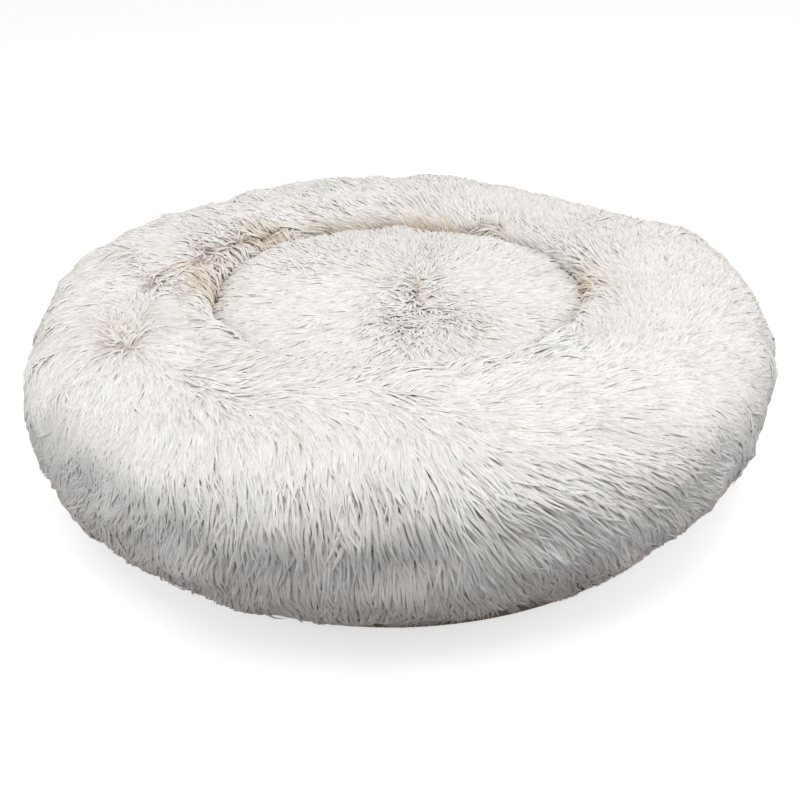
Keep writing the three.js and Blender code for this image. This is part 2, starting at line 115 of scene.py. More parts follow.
STUFFED_ROWS = 52
FILL_COLOUR = (0.90, 0.89, 0.87)
WHITE = (1, 1, 1, 1)

crest_radius = WELL_RADIUS + (BED_RADIUS - WELL_RADIUS) * CREST_PLACE


def smooth_step(low, high, value):
    """Rises from 0 at low to 1 at high along 3t^2 - 2t^3."""
    t = np.clip((value - low) / (high - low), 0, 1)
    return t * t * (3 - 2 * t)


def bump(angle, centre, spread):
    """A round bump of height 1 at an angle in degrees: e to minus the square of away / spread."""
    away = (angle - centre + 540) % 360 - 180
    return np.exp(-((away / spread) ** 2))


def ring_fullness(around, girth):
    """1 plus cosine swells and round bumps, faded out towards the floor and into the well."""
    angle = np.degrees(around)
    change = -SETTLED
    for turns, share, start in SWELLS:
        change = change + share * np.cos(turns * around + start)
    for centre, share, spread in BUMPS + SEAMS:
        change = change + share * bump(angle, centre, spread)
    degrees = np.degrees(girth)
    return 1 + change * smooth_step(*SWELLS_BEGIN, degrees) * (1 - smooth_step(*SWELLS_END, degrees))


def ring_layer(around, girth, inset, tuck_fullness, downward, floor):
    """Points of one layer. A quarter of its section is a superellipse: the half width times
    |cos girth|^(2/n) out from the crest's circle, and the half height times |sin girth|^(2/n) up."""
    across, rise = np.cos(girth), np.sin(girth)
    low_fullness = np.where(across >= 0, tuck_fullness, WELL_FULLNESS)
    power = 2 / np.where(rise >= 0, TOP_FULLNESS, low_fullness)
    low = (across > 0) & (rise < 0)
    tuck = TUCK_SHARE * bump(np.degrees(around), TUCK_ANGLE, TUCK_SPREAD)
    outward = (BED_RADIUS - crest_radius - inset) * (1 - tuck * np.where(low, np.sin(2 * girth) ** 2, 0))
    half_width = np.where(across >= 0, outward, inset - (crest_radius - WELL_RADIUS))
    half_height = np.where(rise >= 0, BED_HEIGHT - WIDEST_HEIGHT - inset, -downward)
    full = ring_fullness(around, girth)
    radius = crest_radius + half_width * np.abs(across) ** power * full
    height = WIDEST_HEIGHT + half_height * np.abs(rise) ** power * full
    return np.stack([radius * np.cos(around), radius * np.sin(around), np.maximum(height, floor)], -1)


def stuffed_layer(around, girth, inset, floor):
    """A layer of the stuffed ring, which sags below its floor and lies flat on it."""
    downward = WIDEST_HEIGHT - RING_FLOOR + RING_SAG - (floor - RING_FLOOR)
    return ring_layer(around, girth, inset, STUFFED_TUCK_FULLNESS, downward, floor)


def grid_quads(rows, columns, round_rows, round_columns, first=0):
    """Corner numbers of a grid's squares, counted row by row, which may run round into themselves."""
    r = np.arange(rows if round_rows else rows - 1)[:, None]
    c = np.arange(columns if round_columns else columns - 1)[None, :]
    r1, c1 = (r + 1) % rows, (c + 1) % columns
    corners = [r * columns + c, r * columns + c1, r1 * columns + c1, r1 * columns + c]
    return first + np.stack(np.broadcast_arrays(*corners), -1).reshape(-1, 4)


def add_piece(name, points, faces, material, body="bed", uv=None):
    """A smooth mesh from points and arrays of faces, three or four corners each, that rides on a body."""
    mesh = bpy.data.meshes.new(name)
    corners = np.concatenate([f.ravel() for f in faces]).astype(np.int32)
    sizes = np.concatenate([np.full(len(f), f.shape[1]) for f in faces])
    mesh.vertices.add(len(points))
    mesh.vertices.foreach_set("co", np.asarray(points, np.float32).ravel())
    mesh.loops.add(len(corners))
    mesh.loops.foreach_set("vertex_index", corners)
    mesh.polygons.add(len(sizes))
    mesh.polygons.foreach_set("loop_start", (np.cumsum(sizes) - sizes).astype(np.int32))
    mesh.polygons.foreach_set("use_smooth", np.ones(len(sizes), bool))
    mesh.update(calc_edges=True)
    if uv is not None:
        layer = mesh.uv_layers.new(name=uv[0])
        layer.uv.foreach_set("vector", np.asarray(uv[1], np.float32).ravel())
    mesh.materials.append(material)
    piece = bpy.data.objects.new(name, mesh)
    scene.collection.objects.link(piece)
    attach(piece, body)
    return piece


def paint(red, green, blue):
    """A colour given as it looks on a screen, in the linear values that Blender's sockets take."""
    return tuple(c / 12.92 if c <= 0.04045 else ((c + 0.055) / 1.055) ** 2.4 for c in (red, green, blue)) + (1,)


def add_node(tree, kind, sockets=None, **values):
    """A node of a tree. A value sets the socket of its name, or else the property, and sockets holds
    those whose names have spaces or are numbers."""
    node = tree.nodes.new(kind)
    for key, value in values.items():
        if key in node.inputs:
            node.inputs[key].default_value = value
        else:
            setattr(node, key, value)
    for key, value in (sockets or {}).items():
        node.inputs[key].default_value = value
    return node


def wire(tree, *links):
    """Joins nodes. Each link is a node, its output, another node and its input."""
    for source, output, target, socket in links:
        tree.links.new(source.outputs[output], target.inputs[socket])


def new_group(name, inputs, outputs):
    """A node group with its named sockets, and its input and output nodes."""
    group = bpy.data.node_groups.new(name, "ShaderNodeTree")
    for way, sockets in (("INPUT", inputs), ("OUTPUT", outputs)):
        for socket, kind in sockets.items():
            group.interface.new_socket(socket, in_out=way, socket_type=f"NodeSocket{kind}")
    return group, add_node(group, "NodeGroupInput"), add_node(group, "NodeGroupOutput")


def plain_material(name, roughness, metallic=0.0):
    """A material with its Principled shader, whose plain values sit on its own sockets."""
    material = bpy.data.materials.new(name)
    material.use_nodes = True
    shader = material.node_tree.nodes["Principled BSDF"]
    shader.inputs["Roughness"].default_value = roughness
    shader.inputs["Metallic"].default_value = metallic
    return material, material.node_tree, shader


def grain_group():
    """Fine clouds: a noise as a height, and as a colour between a dark and a light one."""
    inputs = {"Place": "Vector", "Scale": "Float", "Detail": "Float", "Roughness": "Float"}
    inputs.update(Dark="Color", Light="Color")
    group, start, end = new_group("fine_grain", inputs, {"Colour": "Color", "Height": "Float"})
    noise = add_node(group, "ShaderNodeTexNoise")
    tone = add_node(group, "ShaderNodeMix", data_type="RGBA")
    wire(
        group, (start, "Place", noise, "Vector"), (start, "Scale", noise, "Scale"),
        (start, "Detail", noise, "Detail"), (start, "Roughness", noise, "Roughness"),
        (noise, "Fac", tone, 0), (start, "Dark", tone, 6), (start, "Light", tone, 7),
        (tone, 2, end, "Colour"), (noise, "Fac", end, "Height"),
    )
    return group


fine_grain = grain_group()


def add_grain(tree, scale, detail, roughness, dark, light):
    """The grain on a piece's own place, so many clouds to the metre."""
    place = add_node(tree, "ShaderNodeTexCoord")
    grain = add_node(
        tree, "ShaderNodeGroup", node_tree=fine_grain, Scale=scale, Detail=detail, Roughness=roughness,
        Dark=dark, Light=light,
    )
    wire(tree, (place, "Object", grain, "Place"))
    return grain


def grained(name, colour, dark_share, noise, roughness, metallic=0.0, bumps=None, gloss=None):
    """A finish whose tone falls to a share of its colour in fine clouds. It may have bumps of a
    strength and a height, and a gloss that drifts between two roughnesses."""
    material, tree, shader = plain_material(name, roughness, metallic)
    grain = add_grain(tree, *noise, paint(*(c * dark_share for c in colour)), paint(*colour))
    wire(tree, (grain, "Colour", shader, "Base Color"))
    if bumps:
        lift = add_node(tree, "ShaderNodeBump", Strength=bumps[0], Distance=bumps[1])
        wire(tree, (grain, "Height", lift, "Height"), (lift, "Normal", shader, "Normal"))
    if gloss:
        drift = add_node(tree, "ShaderNodeMapRange", {"To Min": gloss[0], "To Max": gloss[1]})
        wire(tree, (grain, "Height", drift, "Value"), (drift, "Result", shader, "Roughness"))
    return material


fibre = grained("fibre_filling", FILL_COLOUR, 0.93, (90, 6, 0.65), 0.95, bumps=(0.6, 0.003))


def stuffed_ring(inset, floor):
    """The stuffed ring's whole surface: rows along the girth by columns round the bed."""
    girth = np.linspace(0, turn, STUFFED_ROWS, endpoint=False)[:, None]
    around = np.linspace(0, turn, RING_COLUMNS, endpoint=False)[None, :]
    around, girth = np.broadcast_arrays(around, girth)
    return stuffed_layer(around, girth, inset, floor).reshape(-1, 3)


ring_quads = grid_quads(STUFFED_ROWS, RING_COLUMNS, True, True)
ring_filling = add_piece(
    "ring_filling", stuffed_ring(FILL_INSET, RING_FLOOR + LINER_CLOTH + CLOTH_GAP), [ring_quads], fibre
)
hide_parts("bolster_fill")

# The ring's liner
# A plain bag of thin nonwoven cloth that holds the filling. It is sewn shut all round but for the slit
# at the back that it is stuffed by.
LINER_COLOUR = (0.86, 0.85, 0.82)
LINER_THREADS = turn * 700
LINER_SLIT_ROW = 2
LINER_SLIT_COLUMNS = (34, 35, 36, 37)


def woven_group():
    """Threads that cross: the height is |sin| of one direction where it lies over the other, which
    changes at every crossing, and the shade is a slow drift of tone."""
    group, start, end = new_group(
        "woven_threads", {"Place": "Vector", "Threads": "Float"}, {"Height": "Float", "Shade": "Float"}
    )
    split = add_node(group, "ShaderNodeSeparateXYZ")
    over = add_node(group, "ShaderNodeMath", operation="MULTIPLY")
    height = add_node(group, "ShaderNodeMath", operation="ABSOLUTE")
    drift = add_node(group, "ShaderNodeTexNoise", Scale=35.0, Detail=4.0)
    for number, axis in enumerate("XY"):
        scaled = add_node(group, "ShaderNodeMath", operation="MULTIPLY")
        wave = add_node(group, "ShaderNodeMath", operation="SINE")
        wire(
            group, (split, axis, scaled, 0), (start, "Threads", scaled, 1), (scaled, 0, wave, 0),
            (wave, 0, over, number),
        )
    wire(
        group, (start, "Place", split, "Vector"), (start, "Place", drift, "Vector"), (over, 0, height, 0),
        (height, 0, end, "Height"), (drift, "Fac", end, "Shade"),
    )
    return group


woven_threads = woven_group()


def ramp(tree, *stops):
    """A colour ramp by the place and colour of its stops."""
    node = add_node(tree, "ShaderNodeValToRGB")
    elements = node.color_ramp.elements
    for element, (place, colour) in zip(elements, (stops[0], stops[-1])):
        element.position, element.color = place, colour
    for place, colour in stops[1:-1]:
        elements.new(place).color = colour
    return node


def woven_cloth(name, colour, threads, uv_name=None):
    """Cloth of crossing threads, so many radians of thread to the metre, with darker gaps."""
    material, tree, shader = plain_material(name, 0.85)
    if uv_name:
        place, output = add_node(tree, "ShaderNodeUVMap", uv_map=uv_name), "UV"
    else:
        place, output = add_node(tree, "ShaderNodeTexCoord"), "Object"
    weave = add_node(tree, "ShaderNodeGroup", node_tree=woven_threads, Threads=threads)
    shade = add_node(tree, "ShaderNodeMath", {1: 0.4}, operation="MULTIPLY_ADD")
    tone = ramp(tree, (0.25, paint(*(c * 0.8 for c in colour))), (0.8, paint(*colour)))
    lift = add_node(tree, "ShaderNodeBump", Strength=0.5, Distance=0.0003)
    wire(
        tree, (place, output, weave, "Place"), (weave, "Height", shade, 0), (weave, "Shade", shade, 2),
        (shade, 0, tone, "Fac"), (tone, "Color", shader, "Base Color"), (weave, "Height", lift, "Height"),
        (lift, "Normal", shader, "Normal"),
    )
    return material


def double_wall(outer, inner, faces):
    """Points and faces of a cloth between two like sets of points: the inner faces are turned round,
    and a rim runs along every edge that only one face has, such as a slit's."""
    count = len(outer)
    edges = np.concatenate([np.stack([f, np.roll(f, -1, axis=1)], -1).reshape(-1, 2) for f in faces])
    shared = np.isin(edges[:, 1] * count + edges[:, 0], edges[:, 0] * count + edges[:, 1])
    a, b = edges[~shared].T
    rim = np.stack([b, a, a + count, b + count], 1)
    return np.concatenate([outer, inner]), faces + [f[:, ::-1] + count for f in faces] + [rim]


liner_cloth = woven_cloth("liner_cloth", LINER_COLOUR, LINER_THREADS)
liner_slit = LINER_SLIT_ROW * RING_COLUMNS + np.array(LINER_SLIT_COLUMNS)
liner_points, liner_faces = double_wall(
    stuffed_ring(FUR_THICKNESS + CLOTH_GAP, RING_FLOOR),
    stuffed_ring(FUR_THICKNESS + CLOTH_GAP + LINER_CLOTH, RING_FLOOR + LINER_CLOTH),
    [np.delete(ring_quads, liner_slit, axis=0)],
)
ring_liner = add_piece("ring_liner", liner_points, liner_faces, liner_cloth)
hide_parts("bolster_liner")

# The ring's fur cover: its ground
# Four quarter panels of knitted plush, sewn to each other, to the side band and to the well floor. The
# lower part of the pile is so dense that it stands as one soft ground on the knit, deeper down the outer
# wall and in pressed spots, and the locks rise from it.
CREST_DEPTH = 1.5 * mm
BACK_CREST_DEPTH = 4.0 * mm
FRONT_WALL_DEPTH = 8.5 * mm
SIDE_WALL_DEPTH = 3.6 * mm
WELL_DEPTH = 2.6 * mm
MESSY_DEPTH = 5.5 * mm
WELL_SWELL = 10 * mm
WELL_SWELL_MORE = 0.6
TUFT_HEIGHT = 1.7 * mm
TUFT_WAVES = (9, 30, 32 * mm, 90 * mm)
BACKING_INSET = 23.5 * mm
# Angles in degrees: where round the bed its front and its fuller side lie and how wide they are, the
# girth angles between which the wall's and the well's ground get deeper, and those of the well's swell
FRONT_SIDE = (270, 34)
FULLER_SIDE = (10, 26)
WALL_GIRTHS = (34, 76)
SIDE_WALL_LOWER = 38
WELL_GIRTHS = (115, 160)
WELL_SWELL_GIRTH = (144, 19)
GROUND_COLOUR = (0.93, 0.912, 0.893)
# The ground's colour down by the floor, which is painted shade
LOW_GROUND_PAINTED_SHADE = (0.66, 0.61, 0.57)
BAND_TOP = RING_FLOOR + 21.8 * mm
WELL_FLOOR_TOP = RING_FLOOR + 1.5 * mm
FUR_FOOT_GAP = 0.35 * mm
SEAM_GAP = 0.35 * mm
PANELS = {"back_right": 0, "back_left": 1, "front_left": 2, "front_right": 3}
PANEL_COLUMNS = 73
PANEL_ROWS = 81

# Partings, whorls and pressed spots, where the locks stand up and lie every way: pixel place, reach
# and how far
RING_MESSY_SPOTS = (
    (125, 345, 16, 0.9), (205, 254, 17, 0.95), (148, 270, 15, 1.0), (160, 290, 15, 1.0),
    (128, 300, 12, 0.8), (236, 240, 15, 0.8), (262, 246, 12, 0.6), (487, 236, 12, 0.6),
    (215, 300, 15, 0.7), (185, 372, 16, 0.6), (195, 395, 14, 0.5),
    (235, 397, 20, 0.35), (335, 240, 12, 0.4), (600, 300, 14, 0.5), (620, 262, 12, 0.4), (222, 320, 16, 0.4),
)


def ring_cover(around, girth, inset):
    """A point of the fur cover: part of the way from the tips of its pile to its backing's underside,
    by the inset's share of the fur's thickness."""
    tips = ring_layer(around, girth, 0, PILE_TUCK_FULLNESS, WIDEST_HEIGHT, 0)
    underside = stuffed_layer(around, girth, FUR_THICKNESS, RING_FLOOR - CLOTH_GAP)
    share = np.asarray(inset / FUR_THICKNESS)
    return tips + (underside - tips) * share[..., None]


def girth_at(height, fullness):
    """How far below the widest line, as a girth angle, the pile comes down to a height."""
    return math.asin(((WIDEST_HEIGHT - height) / WIDEST_HEIGHT) ** (fullness / 2))


def unit(vectors):
    """Vectors scaled to a length of 1."""
    return vectors / np.maximum(np.linalg.norm(vectors, axis=-1, keepdims=True), 1e-12)


def surface_frame(place, a, b, inset, step_a, step_b):
    """The point, its two unit tangents and its normal, by small steps of the two parameters."""
    here = place(a, b, inset)
    along_a = (place(a + step_a, b, inset) - place(a - step_a, b, inset)) / (2 * step_a)
    along_b = (place(a, b + step_b, inset) - place(a, b - step_b, inset)) / (2 * step_b)
    return here, along_a, along_b, unit(np.cross(along_a, along_b))


def spot_strength(pixel, facing, spots):
    """How messy each place is: round bumps at the spots, where the camera sees the surface."""
    strength = np.zeros(len(pixel))
    for x, y, reach, amount in spots:
        away = ((pixel[:, 0] - x) ** 2 + (pixel[:, 1] - y) ** 2) / reach**2
        strength = np.maximum(strength, amount * np.exp(-away))
    return strength * smooth_step(0, 0.15, facing)


def ground_depth(around, girth, messy):
    """How far the soft ground lies below the tips: least on the crest, more down the outer wall and in
    the well, by smooth steps of the girth angle, and more where the fur is pressed or parted. At the
    front the deeper ground begins higher up the wall, and the crest's is deeper at the back."""
    degrees = np.degrees(girth)
    front = bump(np.degrees(around), *FRONT_SIDE)
    wall = 1 - smooth_step(*WALL_GIRTHS, degrees + SIDE_WALL_LOWER * (1 - front))
    wall_depth = SIDE_WALL_DEPTH + (FRONT_WALL_DEPTH - SIDE_WALL_DEPTH) * front
    well = smooth_step(*WELL_GIRTHS, degrees)
    crest = CREST_DEPTH + (BACK_CREST_DEPTH - CREST_DEPTH) * smooth_step(0.1, 0.9, np.sin(around))
    depth = crest + (wall_depth - crest) * wall + (WELL_DEPTH - crest) * well
    return depth + MESSY_DEPTH * messy


def lines_of_waves(seed, count, shortest, longest):
    """Random plane waves for a smooth noise: directions, lengths and starts."""
    chance = np.random.default_rng(seed)
    ways = chance.normal(size=(count, 3))
    ways /= np.linalg.norm(ways, axis=1, keepdims=True)
    lengths = np.exp(chance.uniform(math.log(shortest), math.log(longest), count))
    return ways * (turn / lengths)[:, None], chance.uniform(0, turn, count)


def smooth_noise(points, waves):
    """The sum of the waves at each point, scaled to a spread of about 1."""
    ways, starts = waves
    return np.cos(points @ ways.T + starts).sum(-1) * math.sqrt(2 / len(starts))


tuft_waves = lines_of_waves(*TUFT_WAVES)


def ring_fur(around, girth, inset):
    """The fur cover with its pile's own shape: it stands out in tufts, by a smooth noise, and over the
    cushion's edge, by a round bump near the top of the well, which is fuller at the right."""
    fuller = 1 + WELL_SWELL_MORE * bump(np.degrees(around), *FULLER_SIDE)
    swell = WELL_SWELL * fuller * bump(np.degrees(girth), *WELL_SWELL_GIRTH)
    tufts = smooth_noise(ring_cover(around, girth, np.zeros(np.shape(around))), tuft_waves)
    return ring_cover(around, girth, inset - swell - TUFT_HEIGHT * tufts)


def height_group():
    """How high a place lies between a low and a high level, from 0 to 1."""
    group, start, end = new_group(
        "height_share", {"Place": "Vector", "Low": "Float", "High": "Float"}, {"Share": "Float"}
    )
    split = add_node(group, "ShaderNodeSeparateXYZ")
    share = add_node(group, "ShaderNodeMapRange")
    wire(
        group, (start, "Place", split, "Vector"), (split, "Z", share, "Value"),
        (start, "Low", share, "From Min"), (start, "High", share, "From Max"), (share, "Result", end, "Share"),
    )
    return group


height_share = height_group()


def toned_by_height(tree, low, high, low_colour, high_colour):
    """A colour that changes from a low level to a high one, and is meant to be multiplied in."""
    place = add_node(tree, "ShaderNodeTexCoord")
    height = add_node(tree, "ShaderNodeGroup", node_tree=height_share, Low=low, High=high)
    colour = add_node(tree, "ShaderNodeMix", {6: low_colour, 7: high_colour}, data_type="RGBA")
    wire(tree, (place, "Object", height, "Place"), (height, "Share", colour, 0))
    return colour


def multiplied(tree, first, first_output, second, second_output):
    """The product of two colours."""
    node = add_node(tree, "ShaderNodeMix", {0: 1.0}, data_type="RGBA", blend_type="MULTIPLY")
    wire(tree, (first, first_output, node, 6), (second, second_output, node, 7))
    return node


def soft_ground(name):
    """Dense short fibre as fine clouds of tone, and greyer and warmer towards the floor as painted shade."""
    material, tree, shader = plain_material(name, 0.95)
    # Greyer and warmer towards the floor: painted shade
    colour = toned_by_height(tree, 0.02, 0.16, paint(*LOW_GROUND_PAINTED_SHADE), paint(*GROUND_COLOUR))
    grain = add_grain(tree, 380, 4, 0.5, paint(0.93, 0.92, 0.91), WHITE)
    shaded = multiplied(tree, colour, 2, grain, "Colour")
    lift = add_node(tree, "ShaderNodeBump", Strength=0.4, Distance=0.001)
    wire(
        tree, (shaded, 2, shader, "Base Color"), (grain, "Height", lift, "Height"),
        (lift, "Normal", shader, "Normal"),
    )
    return material


FUR_LOW_GIRTH = -girth_at(BAND_TOP + FUR_FOOT_GAP, PILE_TUCK_FULLNESS)
FUR_HIGH_GIRTH = math.pi + girth_at(WELL_FLOOR_TOP + FUR_FOOT_GAP, WELL_FULLNESS)
fur_ground = soft_ground("fur_ground")
edge = SEAM_GAP / 2 / WELL_RADIUS
for panel, quarter in PANELS.items():
    around = np.linspace(quarter * turn / 4 + edge, (quarter + 1) * turn / 4 - edge, PANEL_COLUMNS)
    girth = np.linspace(FUR_LOW_GIRTH, FUR_HIGH_GIRTH, PANEL_ROWS)
    around, girth = (g.ravel() for g in np.broadcast_arrays(around[None, :], girth[:, None]))
    top, _, _, outward = surface_frame(ring_cover, around, girth, np.full(around.shape, 2 * mm), 0.002, 0.004)
    seen = np.einsum("ij,ij->i", outward, unit(camera_place - top))
    messy = spot_strength(picture_place(top), seen, RING_MESSY_SPOTS)
    outside = ring_fur(around, girth, ground_depth(around, girth, messy))
    inside = ring_cover(around, girth, np.full(around.shape, BACKING_INSET))
    points, faces = double_wall(outside, inside, [grid_quads(PANEL_ROWS, PANEL_COLUMNS, False, False)])
    ground = add_piece(f"ring_ground_{panel}", points, faces, fur_ground)
    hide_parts(f"bolster_fur_{panel}")

# The ring's fur cover: its pile
# Long polyester plush in fine pointed locks, 3 to 5 mm wide, combed by hand and by use. The locks fan out
# from partings and hang over the side band. Their darker, warmer roots are painted shade deep among the
# locks.
PILE_PITCH = 3.5 * mm
HIDDEN_PILE_PITCH = 7.5 * mm
LOCK_WIDTH = 4.0 * mm
LOCK_TRAVEL = 36 * mm
ROOT_DEPTH = 0.3 * mm
LOCK_START = 6 * mm
OVERHANG = 8 * mm
OVERHANG_GIRTH = (132, 13)
LOCK_STATIONS = np.array([0.0, 0.27, 0.62, 1.0])
LOCK_WIDTH_SHARES = np.array([0.7, 1.0, 0.78])
LOCK_FLATNESS = 0.55
LOCK_SIDES = 3
LOCK_TONE_WIDTH = 0.03
PILE_MAP = "OFBake"
# The pile's tint down by the floor, which is painted shade
LOW_PILE_PAINTED_SHADE = (0.95, 0.925, 0.92)

# Combing: where strokes of the comb lie in the picture, and the way that the tips point there, in
# degrees from the right, counted anticlockwise. Along the back rim and the right side they fan out over
# the rim, the crest in front lies to the right, and the wall hangs down.
RING_COMBING = (
    (215, 205, 163), (250, 200, 160), (290, 200, 160), (330, 192, 156), (365, 192, 150), (400, 192, 144),
    (440, 192, 128), (465, 192, 112), (487, 195, 92), (505, 197, 78), (528, 212, 118), (548, 200, 113),
    (570, 225, 128), (592, 205, 108), (612, 212, 104), (540, 245, 138), (562, 258, 146), (588, 262, 145),
    (604, 243, 124), (635, 230, 98), (662, 232, 84), (690, 238, 72), (716, 262, 52), (740, 292, 30),
    (755, 325, 12), (764, 350, 2), (720, 302, 34), (690, 292, 68), (660, 285, 84), (640, 300, 96),
    (612, 282, 146), (600, 303, 190), (610, 335, 84), (640, 338, 54), (670, 342, 38), (700, 345, 22),
    (730, 352, 12), (650, 362, 20), (615, 368, 17), (572, 372, 18), (540, 362, 12), (700, 372, 4),
    (745, 378, -2), (570, 392, 12), (510, 398, 14), (620, 398, 2), (680, 398, -2), (745, 398, -14),
    (450, 395, 6), (390, 393, 10), (330, 395, 12), (275, 395, 12), (230, 388, 10), (200, 372, -4),
    (180, 352, -8), (165, 348, -6), (125, 325, 95), (145, 330, 60), (100, 335, 150), (90, 352, 190),
    (60, 358, 195), (95, 372, 222), (115, 382, 248), (135, 385, 275), (152, 378, 296), (45, 390, 248),
    (60, 402, 226), (90, 410, 230), (120, 410, 252), (155, 412, 264), (185, 415, 280), (215, 410, 300),
    (250, 420, 346), (300, 420, 0), (360, 420, 0), (430, 420, 2), (500, 422, 2), (570, 422, 0),
    (640, 422, -4), (700, 420, -10), (750, 425, -34), (45, 440, 250), (75, 450, 230), (110, 450, 232),
    (145, 450, 246), (180, 450, 260), (212, 452, 270), (242, 456, 278), (275, 435, 300), (280, 462, 274),
    (325, 434, 298), (325, 462, 274), (362, 434, 298), (362, 462, 275), (395, 438, 294), (395, 464, 276),
    (425, 440, 300), (428, 466, 284), (455, 446, 316), (495, 450, 338), (550, 450, 350),
    (620, 450, 350), (690, 450, 348), (730, 452, 325), (90, 490, 232), (130, 490, 244), (180, 490, 252),
    (225, 485, 266), (280, 486, 273), (335, 486, 274), (385, 486, 276), (420, 486, 282), (455, 482, 314),
    (500, 482, 328), (560, 482, 342), (620, 482, 338), (680, 480, 336), (120, 520, 246), (180, 515, 250),
    (240, 515, 262), (300, 512, 273), (350, 512, 275), (400, 512, 284), (440, 510, 302), (480, 510, 316),
    (530, 512, 330), (590, 512, 330), (650, 510, 318), (150, 545, 254), (210, 545, 256), (280, 545, 268),
    (350, 545, 270), (405, 545, 282), (450, 545, 294), (485, 542, 308), (525, 542, 322), (590, 542, 314),
    (630, 540, 310), (180, 580, 266), (250, 580, 268), (330, 580, 270), (400, 580, 274), (450, 575, 288),
    (485, 572, 300), (530, 570, 306), (580, 565, 306), (90, 270, 204), (130, 262, 182), (165, 250, 172),
    (185, 235, 158), (60, 302, 206), (90, 302, 196), (120, 298, 184), (60, 330, 196), (90, 325, 194),
    (230, 225, 156), (260, 225, 150), (300, 222, 155), (340, 218, 155), (380, 215, 150), (420, 215, 142),
    (450, 215, 128), (180, 300, -20), (170, 325, -15), (225, 290, -35), (250, 262, -30), (285, 245, -40),
    (30, 375, 262), (36, 345, 232),
)
COMB_REACH = 14
COMB_AHEAD = 0.62
ROOT_WAY_SHARE = 0.35

# Ways up the fur between which it turns from hanging outwards to falling into the well, past the crest,
# and from hanging straight to being combed, past the lower edge, and those past the well's widest line
# from which the pile is out of sight and sparse
FALLS_IN_FROM, FALLS_IN_TO = 8 * mm, 34 * mm
HANGS_TO, COMBED_FROM = 14 * mm, 32 * mm
UNSEEN_FROM, SPARSE_FROM = 15 * mm, 25 * mm

# Smooth noises over the ring: seed, number of waves, and the shortest and the longest
SWAY_WAVES = (3, 30, 60 * mm, 170 * mm)
PATCH_WAVES = (4, 40, 26 * mm, 70 * mm)
TWIST_WAVES = (5, 60, 9 * mm, 30 * mm)
BEND_WAVES = (7, 30, 25 * mm, 60 * mm)
TONE_WAVES = (8, 40, 40 * mm, 150 * mm)

# How much the locks differ. Sway and twist follow smooth noises, and the others are drawn by chance: the
# twist of tidy and of messy fur, the length, how much shorter messy fur is, the width, how deep a tip lies
# in the soft ground, and how many locks are loose, by a share, by mess and where the camera sees the fur
# edge on. Locks lean a share of the way to their clump's middle, and further where it is messy
SWAY, TWIST, TIDY_TWIST, MESSY_TWIST = 0.42, 0.11, 0.075, 0.85
LENGTH_RANGE, MESSY_SHORTER = (0.78, 1.18), 0.45
WIDTH_RANGE, TIP_RANGE = (0.72, 1.25), (0.0, 0.8)
LOOSE_SHARE, LOOSE_MESSY, LOOSE_GRAZING = 0.05, 0.4, 0.25
CLUMPING, MESSY_CLUMPING = 0.42, 1.1
NEUTRAL_TONE, TONE_SPREAD = 0.66, 0.075

# Painted light and shade in the pile's tone: warmer, darker places where shade falls, most of all in the
# crevices, and whiter places where more light falls. Each has a pixel place, reach across and down, and
# how far the tone moves from neutral
RING_PAINTED_TONES = (
    (226, 304, 32, 36, -0.34), (385, 238, 130, 9, -0.36), (264, 250, 24, 18, -0.30),
    (190, 284, 16, 16, -0.30), (234, 284, 12, 16, -0.25), (110, 450, 60, 60, 0.12),
    (594, 298, 26, 22, -0.62), (492, 240, 28, 10, -0.34), (300, 205, 140, 30, -0.06),
    (650, 330, 90, 60, 0.20), (560, 380, 160, 30, 0.14), (330, 400, 120, 20, 0.06),
    (600, 520, 120, 60, 0.06), (130, 380, 70, 50, 0.08),
)

# A lock's faces by the numbers of its points: three rings of three, then the tip
side_angles = np.arange(LOCK_SIDES) * turn / LOCK_SIDES + turn / 4
lock_squares = grid_quads(len(LOCK_WIDTH_SHARES), LOCK_SIDES, False, True)
last_ring = (len(LOCK_WIDTH_SHARES) - 1) * LOCK_SIDES
tip_number = len(LOCK_WIDTH_SHARES) * LOCK_SIDES
lock_tips = np.array([[last_ring + j, last_ring + (j + 1) % LOCK_SIDES, tip_number] for j in range(LOCK_SIDES)])
lock_roots = np.array([[0, 2, 1]])
square_sides = np.array([[j, j + 1, j + 1, j] for j in range(LOCK_SIDES)])
square_sides = np.tile(square_sides, (len(LOCK_WIDTH_SHARES) - 1, 1))
square_stations = np.repeat(
    np.array([[k, k, k + 1, k + 1] for k in range(len(LOCK_WIDTH_SHARES) - 1)]), LOCK_SIDES, axis=0
)
tip_sides = np.array([[j, j + 1, j + 0.5] for j in range(LOCK_SIDES)])
tip_stations = np.tile([[2, 2, 3]], (LOCK_SIDES, 1))


